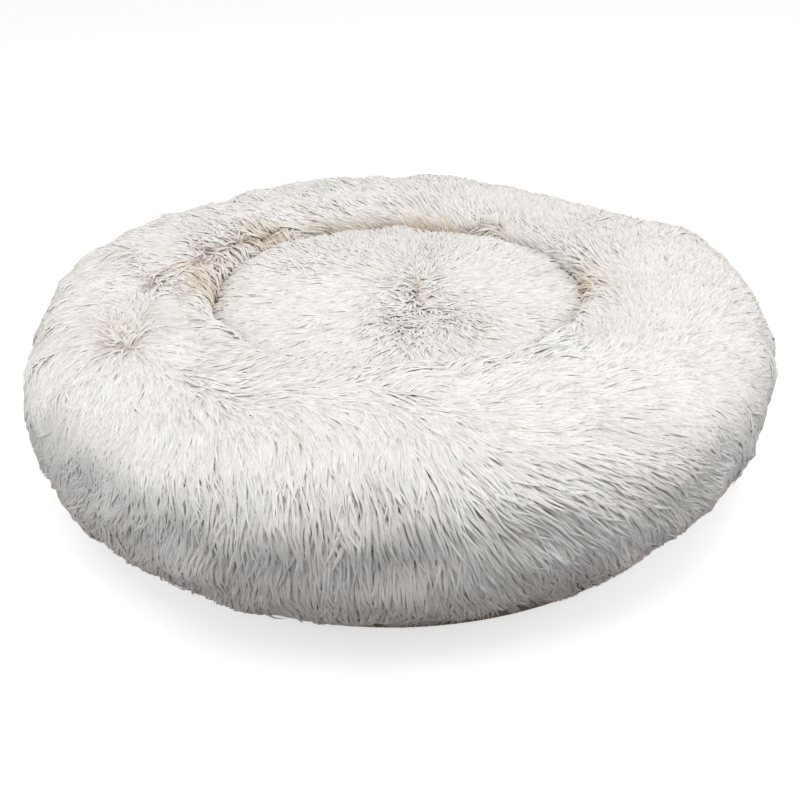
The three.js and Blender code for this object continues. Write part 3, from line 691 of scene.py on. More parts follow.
def locks(name, centre_lines, widths, normals, tones, parted, material, body):
    """Locks of pile as closed pointed spikes: a three-sided section, flattened across the fur, is
    carried along each centre line, swells a little and then tapers to the tip. Its ridge is smooth
    and its two lower edges are sharp. The map's v is t^(1 + parted), so that the painted shade of the
    root reaches further up where the fur is parted."""
    count = len(centre_lines)
    heading = np.empty_like(centre_lines[:, :3])
    heading[:, 0] = centre_lines[:, 1] - centre_lines[:, 0]
    heading[:, 1] = centre_lines[:, 2] - centre_lines[:, 0]
    heading[:, 2] = centre_lines[:, 3] - centre_lines[:, 1]
    heading = unit(heading)
    across = unit(np.cross(normals[:, None, :], heading))
    upright = np.cross(heading, across)
    half = widths[:, None] * LOCK_WIDTH_SHARES[None, :] / 2
    sideways = half[..., None, None] * np.cos(side_angles)[:, None] * across[:, :, None, :]
    raised = half[..., None, None] * np.sin(side_angles)[:, None] * LOCK_FLATNESS * upright[:, :, None, :]
    rings = centre_lines[:, :3, None, :] + sideways + raised
    points = np.concatenate([rings.reshape(count, -1, 3), centre_lines[:, 3:4]], axis=1)
    first = (np.arange(count) * (tip_number + 1))[:, None, None]
    faces = [(lock_squares + first).reshape(-1, 4), (lock_tips + first).reshape(-1, 3)]
    faces.append((lock_roots + first).reshape(-1, 3))
    maps = []
    for sides, stations in ((square_sides, square_stations), (tip_sides, tip_stations)):
        u = tones[:, None, None] + (sides / LOCK_SIDES - 0.5) * LOCK_TONE_WIDTH
        v = LOCK_STATIONS[stations] ** (1 + parted[:, None, None])
        maps.append(np.stack([u, v], -1).reshape(-1, 2))
    root_u = tones[:, None] + np.array([-0.3, 0.3, 0.0]) * LOCK_TONE_WIDTH
    root_v = np.broadcast_to([0.002, 0.002, 0.02], root_u.shape)
    maps.append(np.stack([root_u, root_v], -1).reshape(-1, 2))
    uv = (PILE_MAP, np.concatenate(maps))
    piece = add_piece(name, points.reshape(-1, 3), faces, material, body, uv)
    ends = np.empty(2 * len(piece.data.edges), np.int32)
    piece.data.edges.foreach_get("vertices", ends)
    ends = np.sort(ends.reshape(-1, 2) % (tip_number + 1), axis=1)
    lengthwise = (ends[:, 1] - ends[:, 0] == LOCK_SIDES) | (ends[:, 1] == tip_number)
    sharp = piece.data.attributes.new("sharp_edge", "BOOLEAN", "EDGE")
    sharp.data.foreach_set("value", lengthwise & (ends[:, 0] % LOCK_SIDES > 0))
    return piece


def centre_lines(place, a, b, frame_here, way, travel, root_inset, tip_inset, bend, clump):
    """Four points of each lock: from a little behind its place it rises fast and then lies over, so
    its inset falls with (1 - t)^2.6, while it travels with t^1.25 along its way, bends sideways with
    t^2, and leans to its clump's middle with t^1.5. Ways are turned into the surface's parameters by
    their metric."""
    _, along_a, along_b, normal = frame_here
    aa = np.einsum("ij,ij->i", along_a, along_a)
    ab = np.einsum("ij,ij->i", along_a, along_b)
    bb = np.einsum("ij,ij->i", along_b, along_b)
    inverse = 1 / np.maximum(aa * bb - ab * ab, 1e-12)

    def parameters(vector):
        """The steps of the two parameters that lead along a vector on the surface."""
        va = np.einsum("ij,ij->i", vector, along_a)
        vb = np.einsum("ij,ij->i", vector, along_b)
        return (bb * va - ab * vb) * inverse, (aa * vb - ab * va) * inverse

    way_a, way_b = parameters(way)
    side_a, side_b = parameters(np.cross(normal, way))
    lines = []
    for t in LOCK_STATIONS:
        forward = (travel + LOCK_START) * t**1.25 - LOCK_START
        aside = travel * bend * t**2
        lean = t**1.5
        at_a = a + way_a * forward + side_a * aside + clump[0] * lean
        at_b = b + way_b * forward + side_b * aside + clump[1] * lean
        inset = tip_inset + (root_inset - tip_inset) * (1 - t) ** 2.6
        lines.append(place(at_a, at_b, inset))
    return np.stack(lines, axis=1)


def combed(points, first, second, normal, own, strokes, ahead=0.0):
    """Turns each place's own way towards the strokes near it in the picture. A stroke's way in the
    picture becomes a way on the surface by inverting how the two tangents show there, and it counts
    by its nearness and by how squarely the surface faces the camera. The strokes are looked up a
    little ahead of the place, along its own way."""
    pixel = picture_place(points)
    shown_first = picture_place(points + first * mm) - pixel
    shown_second = picture_place(points + second * mm) - pixel
    pixel = picture_place(points + own * ahead)
    near = np.zeros(len(points))
    way = np.zeros((len(points), 2))
    for x, y, degrees in strokes:
        weight = np.exp(-((pixel[:, 0] - x) ** 2 + (pixel[:, 1] - y) ** 2) / (2 * COMB_REACH**2))
        near += weight
        way += weight[:, None] * [math.cos(math.radians(degrees)), -math.sin(math.radians(degrees))]
    way = unit(way)
    shown = np.stack([shown_first, shown_second], -1)
    soft = shown @ np.swapaxes(shown, 1, 2) + 0.01 * np.eye(2)
    share = np.einsum("nji,nj->ni", shown, np.linalg.solve(soft, way[..., None])[..., 0])
    combed_way = unit(share[:, :1] * first + share[:, 1:] * second)
    facing = np.einsum("ij,ij->i", normal, unit(camera_place - points))
    trust = smooth_step(0.02, 0.22, facing) * smooth_step(0.02, 0.30, near)
    return unit(own * (1 - trust)[:, None] + combed_way * trust[:, None]), pixel, facing


def combed_locks(points, first, second, normal, own, strokes, travel):
    """Each lock's way, between its root's and that further along, how much it turns in between, its
    pixel place and how squarely it faces the camera."""
    start_way, pixel, facing = combed(points, first, second, normal, own, strokes)
    end_way, _, _ = combed(points, first, second, normal, start_way, strokes, travel * COMB_AHEAD)
    flow = np.einsum("ij,ij->i", np.cross(start_way, end_way), normal)
    return unit(start_way * ROOT_WAY_SHARE + end_way * (1 - ROOT_WAY_SHARE)), flow, pixel, facing


def turned(way, normal, angle):
    """Ways turned about the normal: cosine of the angle along them and sine of it across."""
    return unit(way * np.cos(angle)[:, None] + np.cross(normal, way) * np.sin(angle)[:, None])


def with_patches(messy, patches, share):
    """How messy each place is, with random patches where a smooth noise is high."""
    return np.maximum(messy, share * smooth_step(1.5, 2.6, patches))


def tone_shift(pixel, facing, tones):
    """How far each place's tone moves as painted light and shade: round bumps at the toned places that the
    camera sees.
    """
    shift = np.zeros(len(pixel))
    for x, y, reach_x, reach_y, amount in tones:
        away = ((pixel[:, 0] - x) / reach_x) ** 2 + ((pixel[:, 1] - y) / reach_y) ** 2
        shift += amount * np.exp(-away)
    return shift * smooth_step(0, 0.15, facing)


def drawn_bends(chance, flow, spread, drift):
    """Sideways bends: with the turn of the combing, by chance, and with a smooth drift."""
    return chance.normal(size=len(flow)) * spread + flow * 0.35 + drift * 0.08


def drawn_tones(chance, neutral, spread, drift, shift):
    """Tones: by chance about a neutral one, darker for one lock in 25, with a smooth drift and a shift of
    painted light and shade.
    """
    tones = neutral + chance.normal(size=len(drift)) * spread - 0.14 * (chance.random(len(drift)) < 0.04)
    return np.clip(tones + drift * 0.05 + shift, 0.03, 0.97)


def rows_of_roots(chance, way, last_way, row_at):
    """Angles and ways of roots, in rows a pitch apart up the fur and round the bed, each moved by
    chance within its pitch. row_at gives a row's pitch and radius by its way."""
    rows = []
    while way < last_way:
        pitch, radius = row_at(way)
        count = max(3, int(turn * radius / pitch))
        angle = (np.arange(count) + chance.uniform(-0.5, 0.5, count) + 0.5 * (len(rows) % 2)) * turn / count
        rows.append(np.stack([angle, way + pitch * chance.uniform(-0.5, 0.5, count)], 1))
        way += pitch
    return np.concatenate(rows).T


def pile_material(name):
    """Plush pile by its own map: u is a lock's tone, from beige by off-white to white, partly at random and
    partly painted light and shade, and v runs from its root, darker and warmer as painted shade, to its
    light tip, with fine streaks of single fibres along it. Towards the floor it is darker, as painted shade."""
    material, tree, shader = plain_material(name, 0.55)
    for socket, value in {"Specular IOR Level": 0.3, "Sheen Weight": 0.25, "Sheen Roughness": 0.4}.items():
        shader.inputs[socket].default_value = value
    place = add_node(tree, "ShaderNodeUVMap", uv_map=PILE_MAP)
    split = add_node(tree, "ShaderNodeSeparateXYZ")
    tone = ramp(
        tree, (0.0, paint(0.87, 0.81, 0.70)), (0.30, paint(0.93, 0.90, 0.855)),
        (0.52, paint(0.955, 0.948, 0.942)), (0.75, paint(0.97, 0.967, 0.965)), (1.0, paint(0.985, 0.985, 0.98)),
    )
    # The darker, warmer root is painted shade deep among the locks
    root = ramp(tree, (0.05, paint(0.76, 0.71, 0.67)), (0.36, paint(0.96, 0.948, 0.94)), (0.80, WHITE))
    streak_place = add_node(tree, "ShaderNodeMapping", Scale=(420, 3, 1))
    streak = add_node(tree, "ShaderNodeTexNoise", Scale=1.0, Detail=1.0)
    streak_tone = ramp(tree, (0.35, paint(0.85, 0.842, 0.83)), (0.65, WHITE))
    # Darker towards the floor: painted shade
    floor_shade = toned_by_height(tree, 0.02, 0.10, paint(*LOW_PILE_PAINTED_SHADE), WHITE)
    shaded = multiplied(tree, tone, "Color", root, "Color")
    streaked = multiplied(tree, shaded, 2, streak_tone, "Color")
    tinted = multiplied(tree, streaked, 2, floor_shade, 2)
    wire(
        tree, (place, "UV", split, "Vector"), (split, "X", tone, "Fac"), (split, "Y", root, "Fac"),
        (place, "UV", streak_place, "Vector"), (streak_place, "Vector", streak, "Vector"),
        (streak, "Fac", streak_tone, "Fac"), (tinted, 2, shader, "Base Color"),
    )
    return material


pile = pile_material("long_pile")

# How far a place is up the fur from its lower edge, along the section, for each girth angle. Below that
# edge the pile hangs straight, so the way is the height
girth_steps = np.linspace(FUR_LOW_GIRTH - math.radians(28), FUR_HIGH_GIRTH, 1600)
section = ring_layer(np.full(girth_steps.shape, turn / 5), girth_steps, 0, PILE_TUCK_FULLNESS, WIDEST_HEIGHT, 0)
section_radius = np.hypot(section[:, 0], section[:, 1])
stretch = np.hypot(np.diff(section_radius), np.diff(section[:, 2]))
stretch = np.where(girth_steps[1:] < FUR_LOW_GIRTH, np.diff(section[:, 2]), stretch)
way_up = np.concatenate([[0], np.cumsum(stretch)])
way_up -= np.interp(FUR_LOW_GIRTH, girth_steps, way_up)
way_over = float(way_up[-1])
widest_way = float(np.interp(0, girth_steps, way_up))
crest_way = float(np.interp(math.pi / 2, girth_steps, way_up))
well_way = float(np.interp(math.pi, girth_steps, way_up))

FRINGE_TOP = 34 * mm
FRINGE_ROWS = 18 * mm
FRINGE_LENGTH = 21.5 * mm
FRINGE_FOOT = 2.5 * mm
FRONT_FRINGE_RADIUS = 348.5 * mm
BACK_FRINGE_RADIUS = 355.5 * mm


def ring_pile_place(around, along, inset):
    """The fur cover by angle and by way up the fur. Below the band's top it hangs straight down as a
    fringe, clear of the band in front and of the zip and its slider behind."""
    girth = np.interp(along, way_up, girth_steps)
    point = ring_fur(around, girth, inset)
    radius = np.hypot(point[..., 0], point[..., 1])
    behind = smooth_step(-0.03, 0.0, np.sin(around))
    least = FRONT_FRINGE_RADIUS + (BACK_FRINGE_RADIUS - FRONT_FRINGE_RADIUS) * behind
    outside = (girth < math.pi / 2) & (point[..., 2] < FRINGE_TOP)
    wider = np.where(outside, np.maximum(radius, least), radius) / radius
    height = np.maximum(point[..., 2], FRINGE_FOOT)
    return np.stack([point[..., 0] * wider, point[..., 1] * wider, height], -1)


def ring_row(way):
    """A row's pitch, which is wide in the hidden depth of the well, and its radius."""
    pitch = HIDDEN_PILE_PITCH if way > well_way + SPARSE_FROM else PILE_PITCH
    return pitch, np.interp(np.interp(way, way_up, girth_steps), girth_steps, section_radius)


chance = np.random.default_rng(21)
root_around, root_along = rows_of_roots(chance, 0.5 * mm, way_over - 3 * mm, ring_row)
root_around, root_along = root_around % turn, np.maximum(root_along, 0.2 * mm)
here = surface_frame(ring_pile_place, root_around, root_along, 10 * mm, 0.001, 0.5 * mm)
point, along_a, along_b, normal = here
round_way, up_way = unit(along_a), unit(along_b)

# Left to itself the pile hangs down the outer wall, falls outwards from the crest, and falls into the
# well past it, and each place is turned a little by chance
falls_in = smooth_step(crest_way + FALLS_IN_FROM, crest_way + FALLS_IN_TO, root_along)
sway = smooth_noise(point, lines_of_waves(*SWAY_WAVES)) * SWAY
own = unit(up_way * (2 * falls_in - 1)[:, None] + round_way * sway[:, None])
way, flow, pixel, facing = combed_locks(point, round_way, up_way, normal, own, RING_COMBING, LOCK_TRAVEL)
hangs = 1 - smooth_step(HANGS_TO, COMBED_FROM, root_along)[:, None]
way = unit(way * (1 - hangs) + own * hangs)
facing = np.where(root_along > well_way + UNSEEN_FROM, -1, facing)
patches = smooth_noise(point, lines_of_waves(*PATCH_WAVES))
messy = with_patches(spot_strength(pixel, facing, RING_MESSY_SPOTS), patches, 0.4)
twist = smooth_noise(point, lines_of_waves(*TWIST_WAVES)) * TWIST
twist += chance.normal(size=len(point)) * (TIDY_TWIST + MESSY_TWIST * messy)
way = turned(way, normal, twist)

# Locks are shorter where the fur is messy, and long enough for the fringe at its lower edge. Loose ones
# stand up off the others, most of all where the camera sees the fur edge on
travel = LOCK_TRAVEL * chance.uniform(*LENGTH_RANGE, len(point)) * (1 - MESSY_SHORTER * messy)
reach_down = (root_along + FRINGE_LENGTH) * chance.uniform(0.92, 1.0, len(point))
travel = np.where(root_along < FRINGE_ROWS, np.maximum(travel, reach_down), travel)
root_girth = np.interp(root_along, way_up, girth_steps)
depth = ground_depth(root_around, root_girth, messy)
root_inset = depth + ROOT_DEPTH
grazing = 1 - smooth_step(0.0, 0.4, np.abs(facing))
loose = chance.random(len(point)) < LOOSE_SHARE + LOOSE_MESSY * messy + LOOSE_GRAZING * grazing
stands_up = chance.uniform(0.3, 1.5, len(point)) * (1 + 1.6 * grazing) * mm
tip_inset = chance.uniform(*TIP_RANGE, len(point)) * depth - loose * stands_up
overhang = OVERHANG * (1 - 0.5 * smooth_step(0.3, 0.8, np.sin(root_around)))
tip_inset -= overhang * bump(np.degrees(root_girth), *OVERHANG_GIRTH) * chance.uniform(0, 1, len(point))
bend = drawn_bends(chance, flow, 0.10, smooth_noise(point, lines_of_waves(*BEND_WAVES)))
widths = LOCK_WIDTH * chance.uniform(*WIDTH_RANGE, len(point))
drift = smooth_noise(point, lines_of_waves(*TONE_WAVES))
tones = drawn_tones(chance, NEUTRAL_TONE, TONE_SPREAD, drift, tone_shift(pixel, facing, RING_PAINTED_TONES))

# Neighbours lean together into clumps about 9 mm across, whose middles lie on a grid moved by chance
CLUMP_PITCH = 8.5 * mm


def lean_to_clump(a, b, round_scale, share, seed):
    """A step in both parameters towards the nearest clump's middle, a share of the way."""
    jitter = np.random.default_rng(seed).uniform(-0.35, 0.35, (64, 64, 2))
    cell = np.stack([a * round_scale, b], 1) / CLUMP_PITCH
    best = np.full(len(a), 1e9)
    step = np.zeros((len(a), 2))
    base = np.floor(cell).astype(int)
    for i in (-1, 0, 1):
        for j in (-1, 0, 1):
            index = base + [i, j]
            middle = index + 0.5 + jitter[index[:, 0] % 64, index[:, 1] % 64]
            away = middle - cell
            distance = (away**2).sum(1)
            closer = distance < best
            best = np.where(closer, distance, best)
            step = np.where(closer[:, None], away, step)
    step *= CLUMP_PITCH * share[:, None]
    return step[:, 0] / round_scale, step[:, 1]


clump = lean_to_clump(root_around, root_along, 0.3, CLUMPING * (1 + MESSY_CLUMPING * messy), 11)
lines = centre_lines(
    ring_pile_place, root_around, root_along, here, way, travel, root_inset, tip_inset, bend, clump
)
BELTS = {"foot": widest_way * 0.42, "side": widest_way + 8 * mm, "shoulder": crest_way - 12 * mm}
BELTS |= {"crest": crest_way + 38 * mm, "well": way_over + 1}
quarters = np.floor(root_around / (turn / 4)).astype(int) % 4
for panel, quarter in PANELS.items():
    low = -1.0
    for belt, high in BELTS.items():
        chosen = (quarters == quarter) & (root_along >= low) & (root_along < high)
        low = high
        piece = locks(
            f"ring_pile_{panel}_{belt}", lines[chosen], widths[chosen], normal[chosen], tones[chosen],
            messy[chosen], pile, "bed"
        )
        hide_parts(f"bolster_fur_{panel}")

# The well floor
# A round of plain cloth sewn to the lower edge of the fur inside the ring. The cushion lies on it.
CLOTH_RINGS = 28
CLOTH_WAVES = (12, 24, 50 * mm, 150 * mm)
floor_low, floor_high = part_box("well_floor")
well_floor_radius = floor_high.x


def fan(middle, first, columns, turned_round=False):
    """Triangles from a middle point to each two neighbours on a ring of points that starts at first."""
    k = first + np.arange(columns)
    next_k = first + (np.arange(columns) + 1) % columns
    return np.stack([np.full(columns, middle), *((next_k, k) if turned_round else (k, next_k))], 1)


def ring_rim(first, second, columns):
    """Squares between two rings of points that start at first and second."""
    k = np.arange(columns)
    next_k = (k + 1) % columns
    return np.stack([first + k, second + k, second + next_k, first + next_k], 1)


def cloth_round(name, radius, low, high, ripple, material, body="bed"):
    """A flat round of cloth: rings of points out from the middle on both faces, and a rim between,
    with its upper face rippled by a smooth noise of a given height."""
    ring_count, columns = CLOTH_RINGS, RING_COLUMNS
    share = np.linspace(0, 1, ring_count + 1)[1:, None]
    angle = np.linspace(0, turn, columns, endpoint=False)[None, :]
    x, y = radius * share * np.cos(angle), radius * share * np.sin(angle)
    flat = np.stack([x, y, np.zeros_like(x)], -1).reshape(-1, 3)
    wave = smooth_noise(flat, lines_of_waves(*CLOTH_WAVES)) * ripple
    top = flat + np.stack([np.zeros_like(wave), np.zeros_like(wave), high - ripple - np.abs(wave) * 0.5], 1)
    bottom = flat + [0, 0, low]
    count = ring_count * columns
    points = np.concatenate([top, bottom, [[0, 0, high - ripple], [0, 0, low]]])
    squares = grid_quads(ring_count, columns, False, True)
    middle_top = fan(2 * count, 0, columns)
    middle_low = fan(2 * count + 1, count, columns, True)
    rim = ring_rim(count - columns, 2 * count - columns, columns)
    faces = [squares[:, ::-1], squares + count, rim, middle_top, middle_low]
    return add_piece(name, points, faces, material, body)


well_floor = cloth_round(
    "well_floor_cloth", well_floor_radius, floor_low.z, floor_high.z, 0.15 * mm, liner_cloth
)
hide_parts("well_floor")

# The base
# A round of plain woven cloth, sewn to the side band and to the zip. Small rubber dots printed on its
# underside keep the bed from sliding.
BASE_COLOUR = (0.56, 0.53, 0.48)
BASE_THREADS = turn * 450
DOT_PITCH = 14 * mm
DOT_RADIUS = 2.2 * mm
DOT_HEIGHT = 0.5 * mm
DOT_SIDES = 8
DOT_COLOUR = (0.80, 0.78, 0.74)
base_low, base_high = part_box("base_fabric")
base_radius = base_high.x
base_weave = woven_cloth("base_cloth", BASE_COLOUR, BASE_THREADS)
base_cloth = cloth_round("base_cloth", base_radius, DOT_HEIGHT, base_high.z, 0.1 * mm, base_weave)
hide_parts("base_fabric")


def grip_dots():
    """Low rubber buttons on a staggered grid inside the base's edge: a foot ring, a narrower top ring
    and a middle, turned face down, repeated at each place."""
    steps = int(base_radius / DOT_PITCH) + 2
    i, j = np.meshgrid(np.arange(-steps, steps + 1), np.arange(-steps, steps + 1), indexing="ij")
    x = (i + 0.5 * (j % 2)) * DOT_PITCH
    y = j * DOT_PITCH * math.sqrt(3) / 2
    inside = np.hypot(x, y) < base_radius - DOT_PITCH
    centres = np.stack([x[inside], y[inside], np.zeros(inside.sum())], 1)
    angle = np.arange(DOT_SIDES) * turn / DOT_SIDES
    circle = np.stack([np.cos(angle), np.sin(angle), np.zeros(DOT_SIDES)], 1)
    foot = circle * DOT_RADIUS + [0, 0, DOT_HEIGHT]
    face = circle * DOT_RADIUS * 0.7 + [0, 0, 0.1 * mm]
    dot = np.concatenate([foot, face, [[0, 0, DOT_HEIGHT], [0, 0, 0]]])
    wall = ring_rim(0, DOT_SIDES, DOT_SIDES)
    top = fan(2 * DOT_SIDES, 0, DOT_SIDES)
    low = fan(2 * DOT_SIDES + 1, DOT_SIDES, DOT_SIDES, True)
    first = (np.arange(len(centres)) * len(dot))[:, None, None]
    points = (dot[None] + centres[:, None]).reshape(-1, 3)
    return points, [(f + first).reshape(-1, f.shape[1]) for f in (wall, top, low)]


rubber = grained("grip_rubber", DOT_COLOUR, 0.85, (1400, 3, 0.5), 0.6)
base_dots = add_piece("base_grip_dots", *grip_dots(), rubber)

# The side band
# A strip of the base's cloth round the front half. It stands between the base and the fur's lower edge,
# bulges a little, and is covered by the fringe of the pile.
BAND_BULGE = 0.25 * mm
BAND_WAVE = 0.12 * mm
BAND_THICKNESS = 0.8 * mm
BAND_CORNER = 0.2 * mm
ARC_STEPS = 360
band_low, band_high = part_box("base_side_band")
band_outer = max(abs(band_low.x), abs(band_high.x))
band_inner = band_outer - BAND_THICKNESS


def swept_strip(name, profile, start, end, steps, material, wave=0.0):
    """A strip of cloth round the bed: a closed profile of radius and height, carried along an arc and
    moved in and out by the product of two sines of the angle, with both ends closed by a fan. Its map
    is in metres, along the arc and up the profile."""
    angle = np.linspace(start, end, steps)[:, None]
    radius = np.asarray(profile)[None, :, 0] + wave * np.sin(angle * 61) * np.sin(angle * 23)
    height = np.broadcast_to(np.asarray(profile)[None, :, 1], radius.shape)
    points = np.stack([radius * np.cos(angle), radius * np.sin(angle), height], -1)
    columns = len(profile)
    ends = points[[0, -1]].mean(1)
    squares = grid_quads(steps, columns, False, True)
    count = steps * columns
    first_cap = fan(count, 0, columns, True)
    last_cap = fan(count + 1, count - columns, columns)
    points = np.concatenate([points.reshape(-1, 3), ends])
    faces = [squares[:, ::-1], first_cap[:, ::-1], last_cap[:, ::-1]]
    corners = np.concatenate([f.ravel() for f in faces])
    flat_along = np.append(np.repeat(angle[:, 0], columns), [start, end]) * band_outer
    flat_up = points[:, 2]
    uv = ("strip", np.stack([flat_along[corners], flat_up[corners]], 1))
    return add_piece(name, points, faces, material, uv=uv)


def rounded_profile(inner, outer, low, high, corner, bulge):
    """A thin upright section with rounded corners and an outer face that bows out by a bulge."""
    rise = np.linspace(low + corner, high - corner, 9)
    bow = outer + bulge * (1 - ((rise - (low + high) / 2) / ((high - low) / 2)) ** 2)
    outer_side = np.stack([bow, rise], 1)
    inner_side = np.stack([np.full(9, inner), rise[::-1]], 1)
    top = [[outer - corner, high], [inner + corner, high]]
    foot = [[inner + corner, low], [outer - corner, low]]
    return np.concatenate([outer_side, top, inner_side, foot])


band_weave = woven_cloth("band_cloth", BASE_COLOUR, BASE_THREADS, uv_name="strip")
band_end = SEAM_GAP / band_inner
side_band = swept_strip(
    "side_band_cloth",
    rounded_profile(band_inner, band_outer, band_low.z, band_high.z, BAND_CORNER, BAND_BULGE),
    math.pi + band_end, turn - band_end, ARC_STEPS, band_weave, BAND_WAVE,
)
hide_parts("base_side_band")

# The zip's tapes
# Two woven polyester tapes along the back half, one sewn to the base and one to the fur. They stand in
# line with the side band.
TAPE_COLOUR = (0.80, 0.77, 0.72)
TAPE_THREADS = turn * 900
tape_weave = woven_cloth("zip_tape", TAPE_COLOUR, TAPE_THREADS, uv_name="strip")
for name in ("zip_tape_lower", "zip_tape_upper"):
    low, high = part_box(name)
    tape = swept_strip(
        f"{name}_cloth", rounded_profile(band_inner, band_outer, low.z, high.z, BAND_CORNER, 0),
        0.0, math.pi, ARC_STEPS, tape_weave,
    )
    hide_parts(name)

# The zip's coils
# Each is one nylon wire wound into a spiral and sewn along its tape's edge. The two face each other, and
# the slider runs over them.
COIL_WIRE = 0.42 * mm
COIL_PITCH = 2.1 * mm
COIL_STEPS = 8
COIL_SIDES = 5
ZIP_END_INSET = 16 * mm


def zip_coil(name, low, high, start, end, material):
    """One wire as a spiral round an arc: its middle goes round the arc's own line, out by cosine and
    up by sine, and a small ring of points is carried along it."""
    middle_radius = (band_inner + band_outer) / 2
    half_out = (high.x - middle_radius) - COIL_WIRE
    half_up = (high.z - low.z) / 2 - COIL_WIRE
    turns = int((end - start) * middle_radius / COIL_PITCH)
    t = np.linspace(0, 1, turns * COIL_STEPS + 1)
    angle = start + (end - start) * t
    phase = turn * turns * t
    radius = middle_radius + half_out * np.cos(phase)
    height = (low.z + high.z) / 2 + half_up * np.sin(phase)
    line = np.stack([radius * np.cos(angle), radius * np.sin(angle), height], 1)
    heading = unit(np.gradient(line, axis=0))
    along_arc = np.stack([-np.sin(angle), np.cos(angle), np.zeros_like(angle)], 1)
    first = unit(along_arc - np.einsum("ij,ij->i", along_arc, heading)[:, None] * heading)
    second = np.cross(heading, first)
    ring = np.arange(COIL_SIDES) * turn / COIL_SIDES
    points = line[:, None] + COIL_WIRE * (
        np.cos(ring)[:, None] * first[:, None] + np.sin(ring)[:, None] * second[:, None]
    )
    squares = grid_quads(len(t), COIL_SIDES, False, True)
    count = len(t) * COIL_SIDES
    caps = [fan(count, 0, COIL_SIDES, True), fan(count + 1, count - COIL_SIDES, COIL_SIDES)]
    points = np.concatenate([points.reshape(-1, 3), line[[0, -1]]])
    return add_piece(name, points, [squares, *caps], material)


def moulded_plastic(name, roughness):
    """Satin plastic with a slow drift of tone and gloss."""
    gloss = (roughness - 0.08, roughness + 0.08)
    return grained(name, TAPE_COLOUR, 0.9, (160, 3, 0.5), roughness, gloss=gloss)


zip_end = ZIP_END_INSET / band_inner
coil_plastic = moulded_plastic("zip_coil", 0.45)
for name in ("zip_coil_lower", "zip_coil_upper"):
    low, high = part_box(name)
    coil = zip_coil(f"{name}_wire", low, high, zip_end, math.pi - zip_end, coil_plastic)
    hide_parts(name)

# The zip's stops
# Small moulded blocks of the coils' plastic, clamped on the chain's ends, which keep the slider on it.
STOP_EDGE = 0.35 * mm
stop_plastic = moulded_plastic("zip_stop", 0.4)


def softened(node, name, width, material, body):
    """A copy of a hard piece with its loose triangles joined and its edges rounded."""
    piece = bpy.data.objects.new(name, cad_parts[node].data.copy())
    scene.collection.objects.link(piece)
    piece.data.materials.clear()
    piece.data.materials.append(material)
    weld = piece.modifiers.new("join", "WELD")
    weld.merge_threshold = 0.00001
    flat = piece.modifiers.new("flatten", "DECIMATE")
    flat.decimate_type = "DISSOLVE"
    flat.angle_limit = math.radians(2)
    bevel = piece.modifiers.new("edges", "BEVEL")
    bevel.width = width
    bevel.segments = 3
    bevel.limit_method = "ANGLE"
    bevel.angle_limit = math.radians(30)
    bevel.harden_normals = True
    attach(piece, body)
    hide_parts(node)
    return piece


for name in ("zip_top_stop_lower", "zip_top_stop_upper", "zip_bottom_stop"):
    stop = softened(name, f"{name}_block", STOP_EDGE, stop_plastic, "bed")

# The slider and its pull
# Die-cast zinc with a satin painted finish. The slider's two plates hold the coils, its bridge carries
# the pull, and the pull swings on its pin under the bridge.
METAL_COLOUR = (0.70, 0.69, 0.66)
CAST_EDGE = 0.25 * mm

# Fine handling marks break the gloss of the paint
zip_metal = grained("zip_metal", METAL_COLOUR, 0.82, (420, 6, 0.7), 0.35, 0.85, gloss=(0.24, 0.5))
softened("zip_slider", "zip_slider_casting", CAST_EDGE, zip_metal, "zip_slider_body")
softened("zip_pull", "zip_pull_tab", CAST_EDGE, zip_metal, "zip_pull_body")

# The cushion's filling and its bag
# The same fibre as the ring's, in a sewn bag of thin cloth with a slit at the back of its side. The
# crown has the hollows that lying on it has pressed.
CUSHION_RADIUS = 201 * mm
CUSHION_HEIGHT = 168 * mm
CUSHION_FOOT = WELL_FLOOR_TOP + 0.35 * mm
CUSHION_WIDEST = CUSHION_FOOT + 0.52 * CUSHION_HEIGHT
CUSHION_TOP_FULLNESS = 5.5
CUSHION_FOOT_FULLNESS = 3.0
CUSHION_FOOT_DEPTH = 24 * mm
UNDERSIDE_CLOTH = 1.2 * mm
BAG_CLOTH = 0.8 * mm
SEAM_LEVEL = CUSHION_FOOT + UNDERSIDE_CLOTH + CLOTH_GAP
HOLLOWS = ((0.09, -0.23, 0.20, 0.17, 0.15), (-0.6, 0.5, 0.55, 0.4, -0.1))
CUSHION_COLUMNS = 120
BAG_SLIT_ROW = 45
BAG_SLIT_COLUMNS = (28, 29, 30, 31)


def cushion_section(inset, floor, steps):
    """Reach and height from the crown's middle to the foot: above the widest line the reach is a sine
    and the rise follows the superellipse, and below it the reach follows the fall."""
    downward = CUSHION_WIDEST - CUSHION_FOOT + CUSHION_FOOT_DEPTH
    upward = CUSHION_FOOT + CUSHION_HEIGHT - CUSHION_WIDEST - inset
    reach = np.sin(np.linspace(0, math.pi / 2, steps))
    rise = (1 - reach**CUSHION_TOP_FULLNESS) ** (1 / CUSHION_TOP_FULLNESS)
    fall = np.linspace(0, (CUSHION_WIDEST - floor) / downward, steps // 2)[1:]
    low_reach = (1 - fall**CUSHION_FOOT_FULLNESS) ** (1 / CUSHION_FOOT_FULLNESS)
    radius = (CUSHION_RADIUS - inset) * np.concatenate([reach, low_reach])
    height = CUSHION_WIDEST + np.concatenate([upward * rise, -downward * fall])
    crown = np.concatenate([smooth_step(0, 0.4, rise), np.zeros(len(fall))])
    return radius, height, crown


def hollow_depth(x, y):
    """The hollow in the crown and the swell at its back left, of negative depth, as round bumps by
    place and spread in shares of the cushion's radius."""
    depth = 0
    for place_x, place_y, spread_x, spread_y, share in HOLLOWS:
        away_x = (x / CUSHION_RADIUS - place_x) / spread_x
        away_y = (y / CUSHION_RADIUS - place_y) / spread_y
        depth = depth + share * np.exp(-(away_x**2) - away_y**2)
    return depth * (CUSHION_HEIGHT - CUSHION_WIDEST)


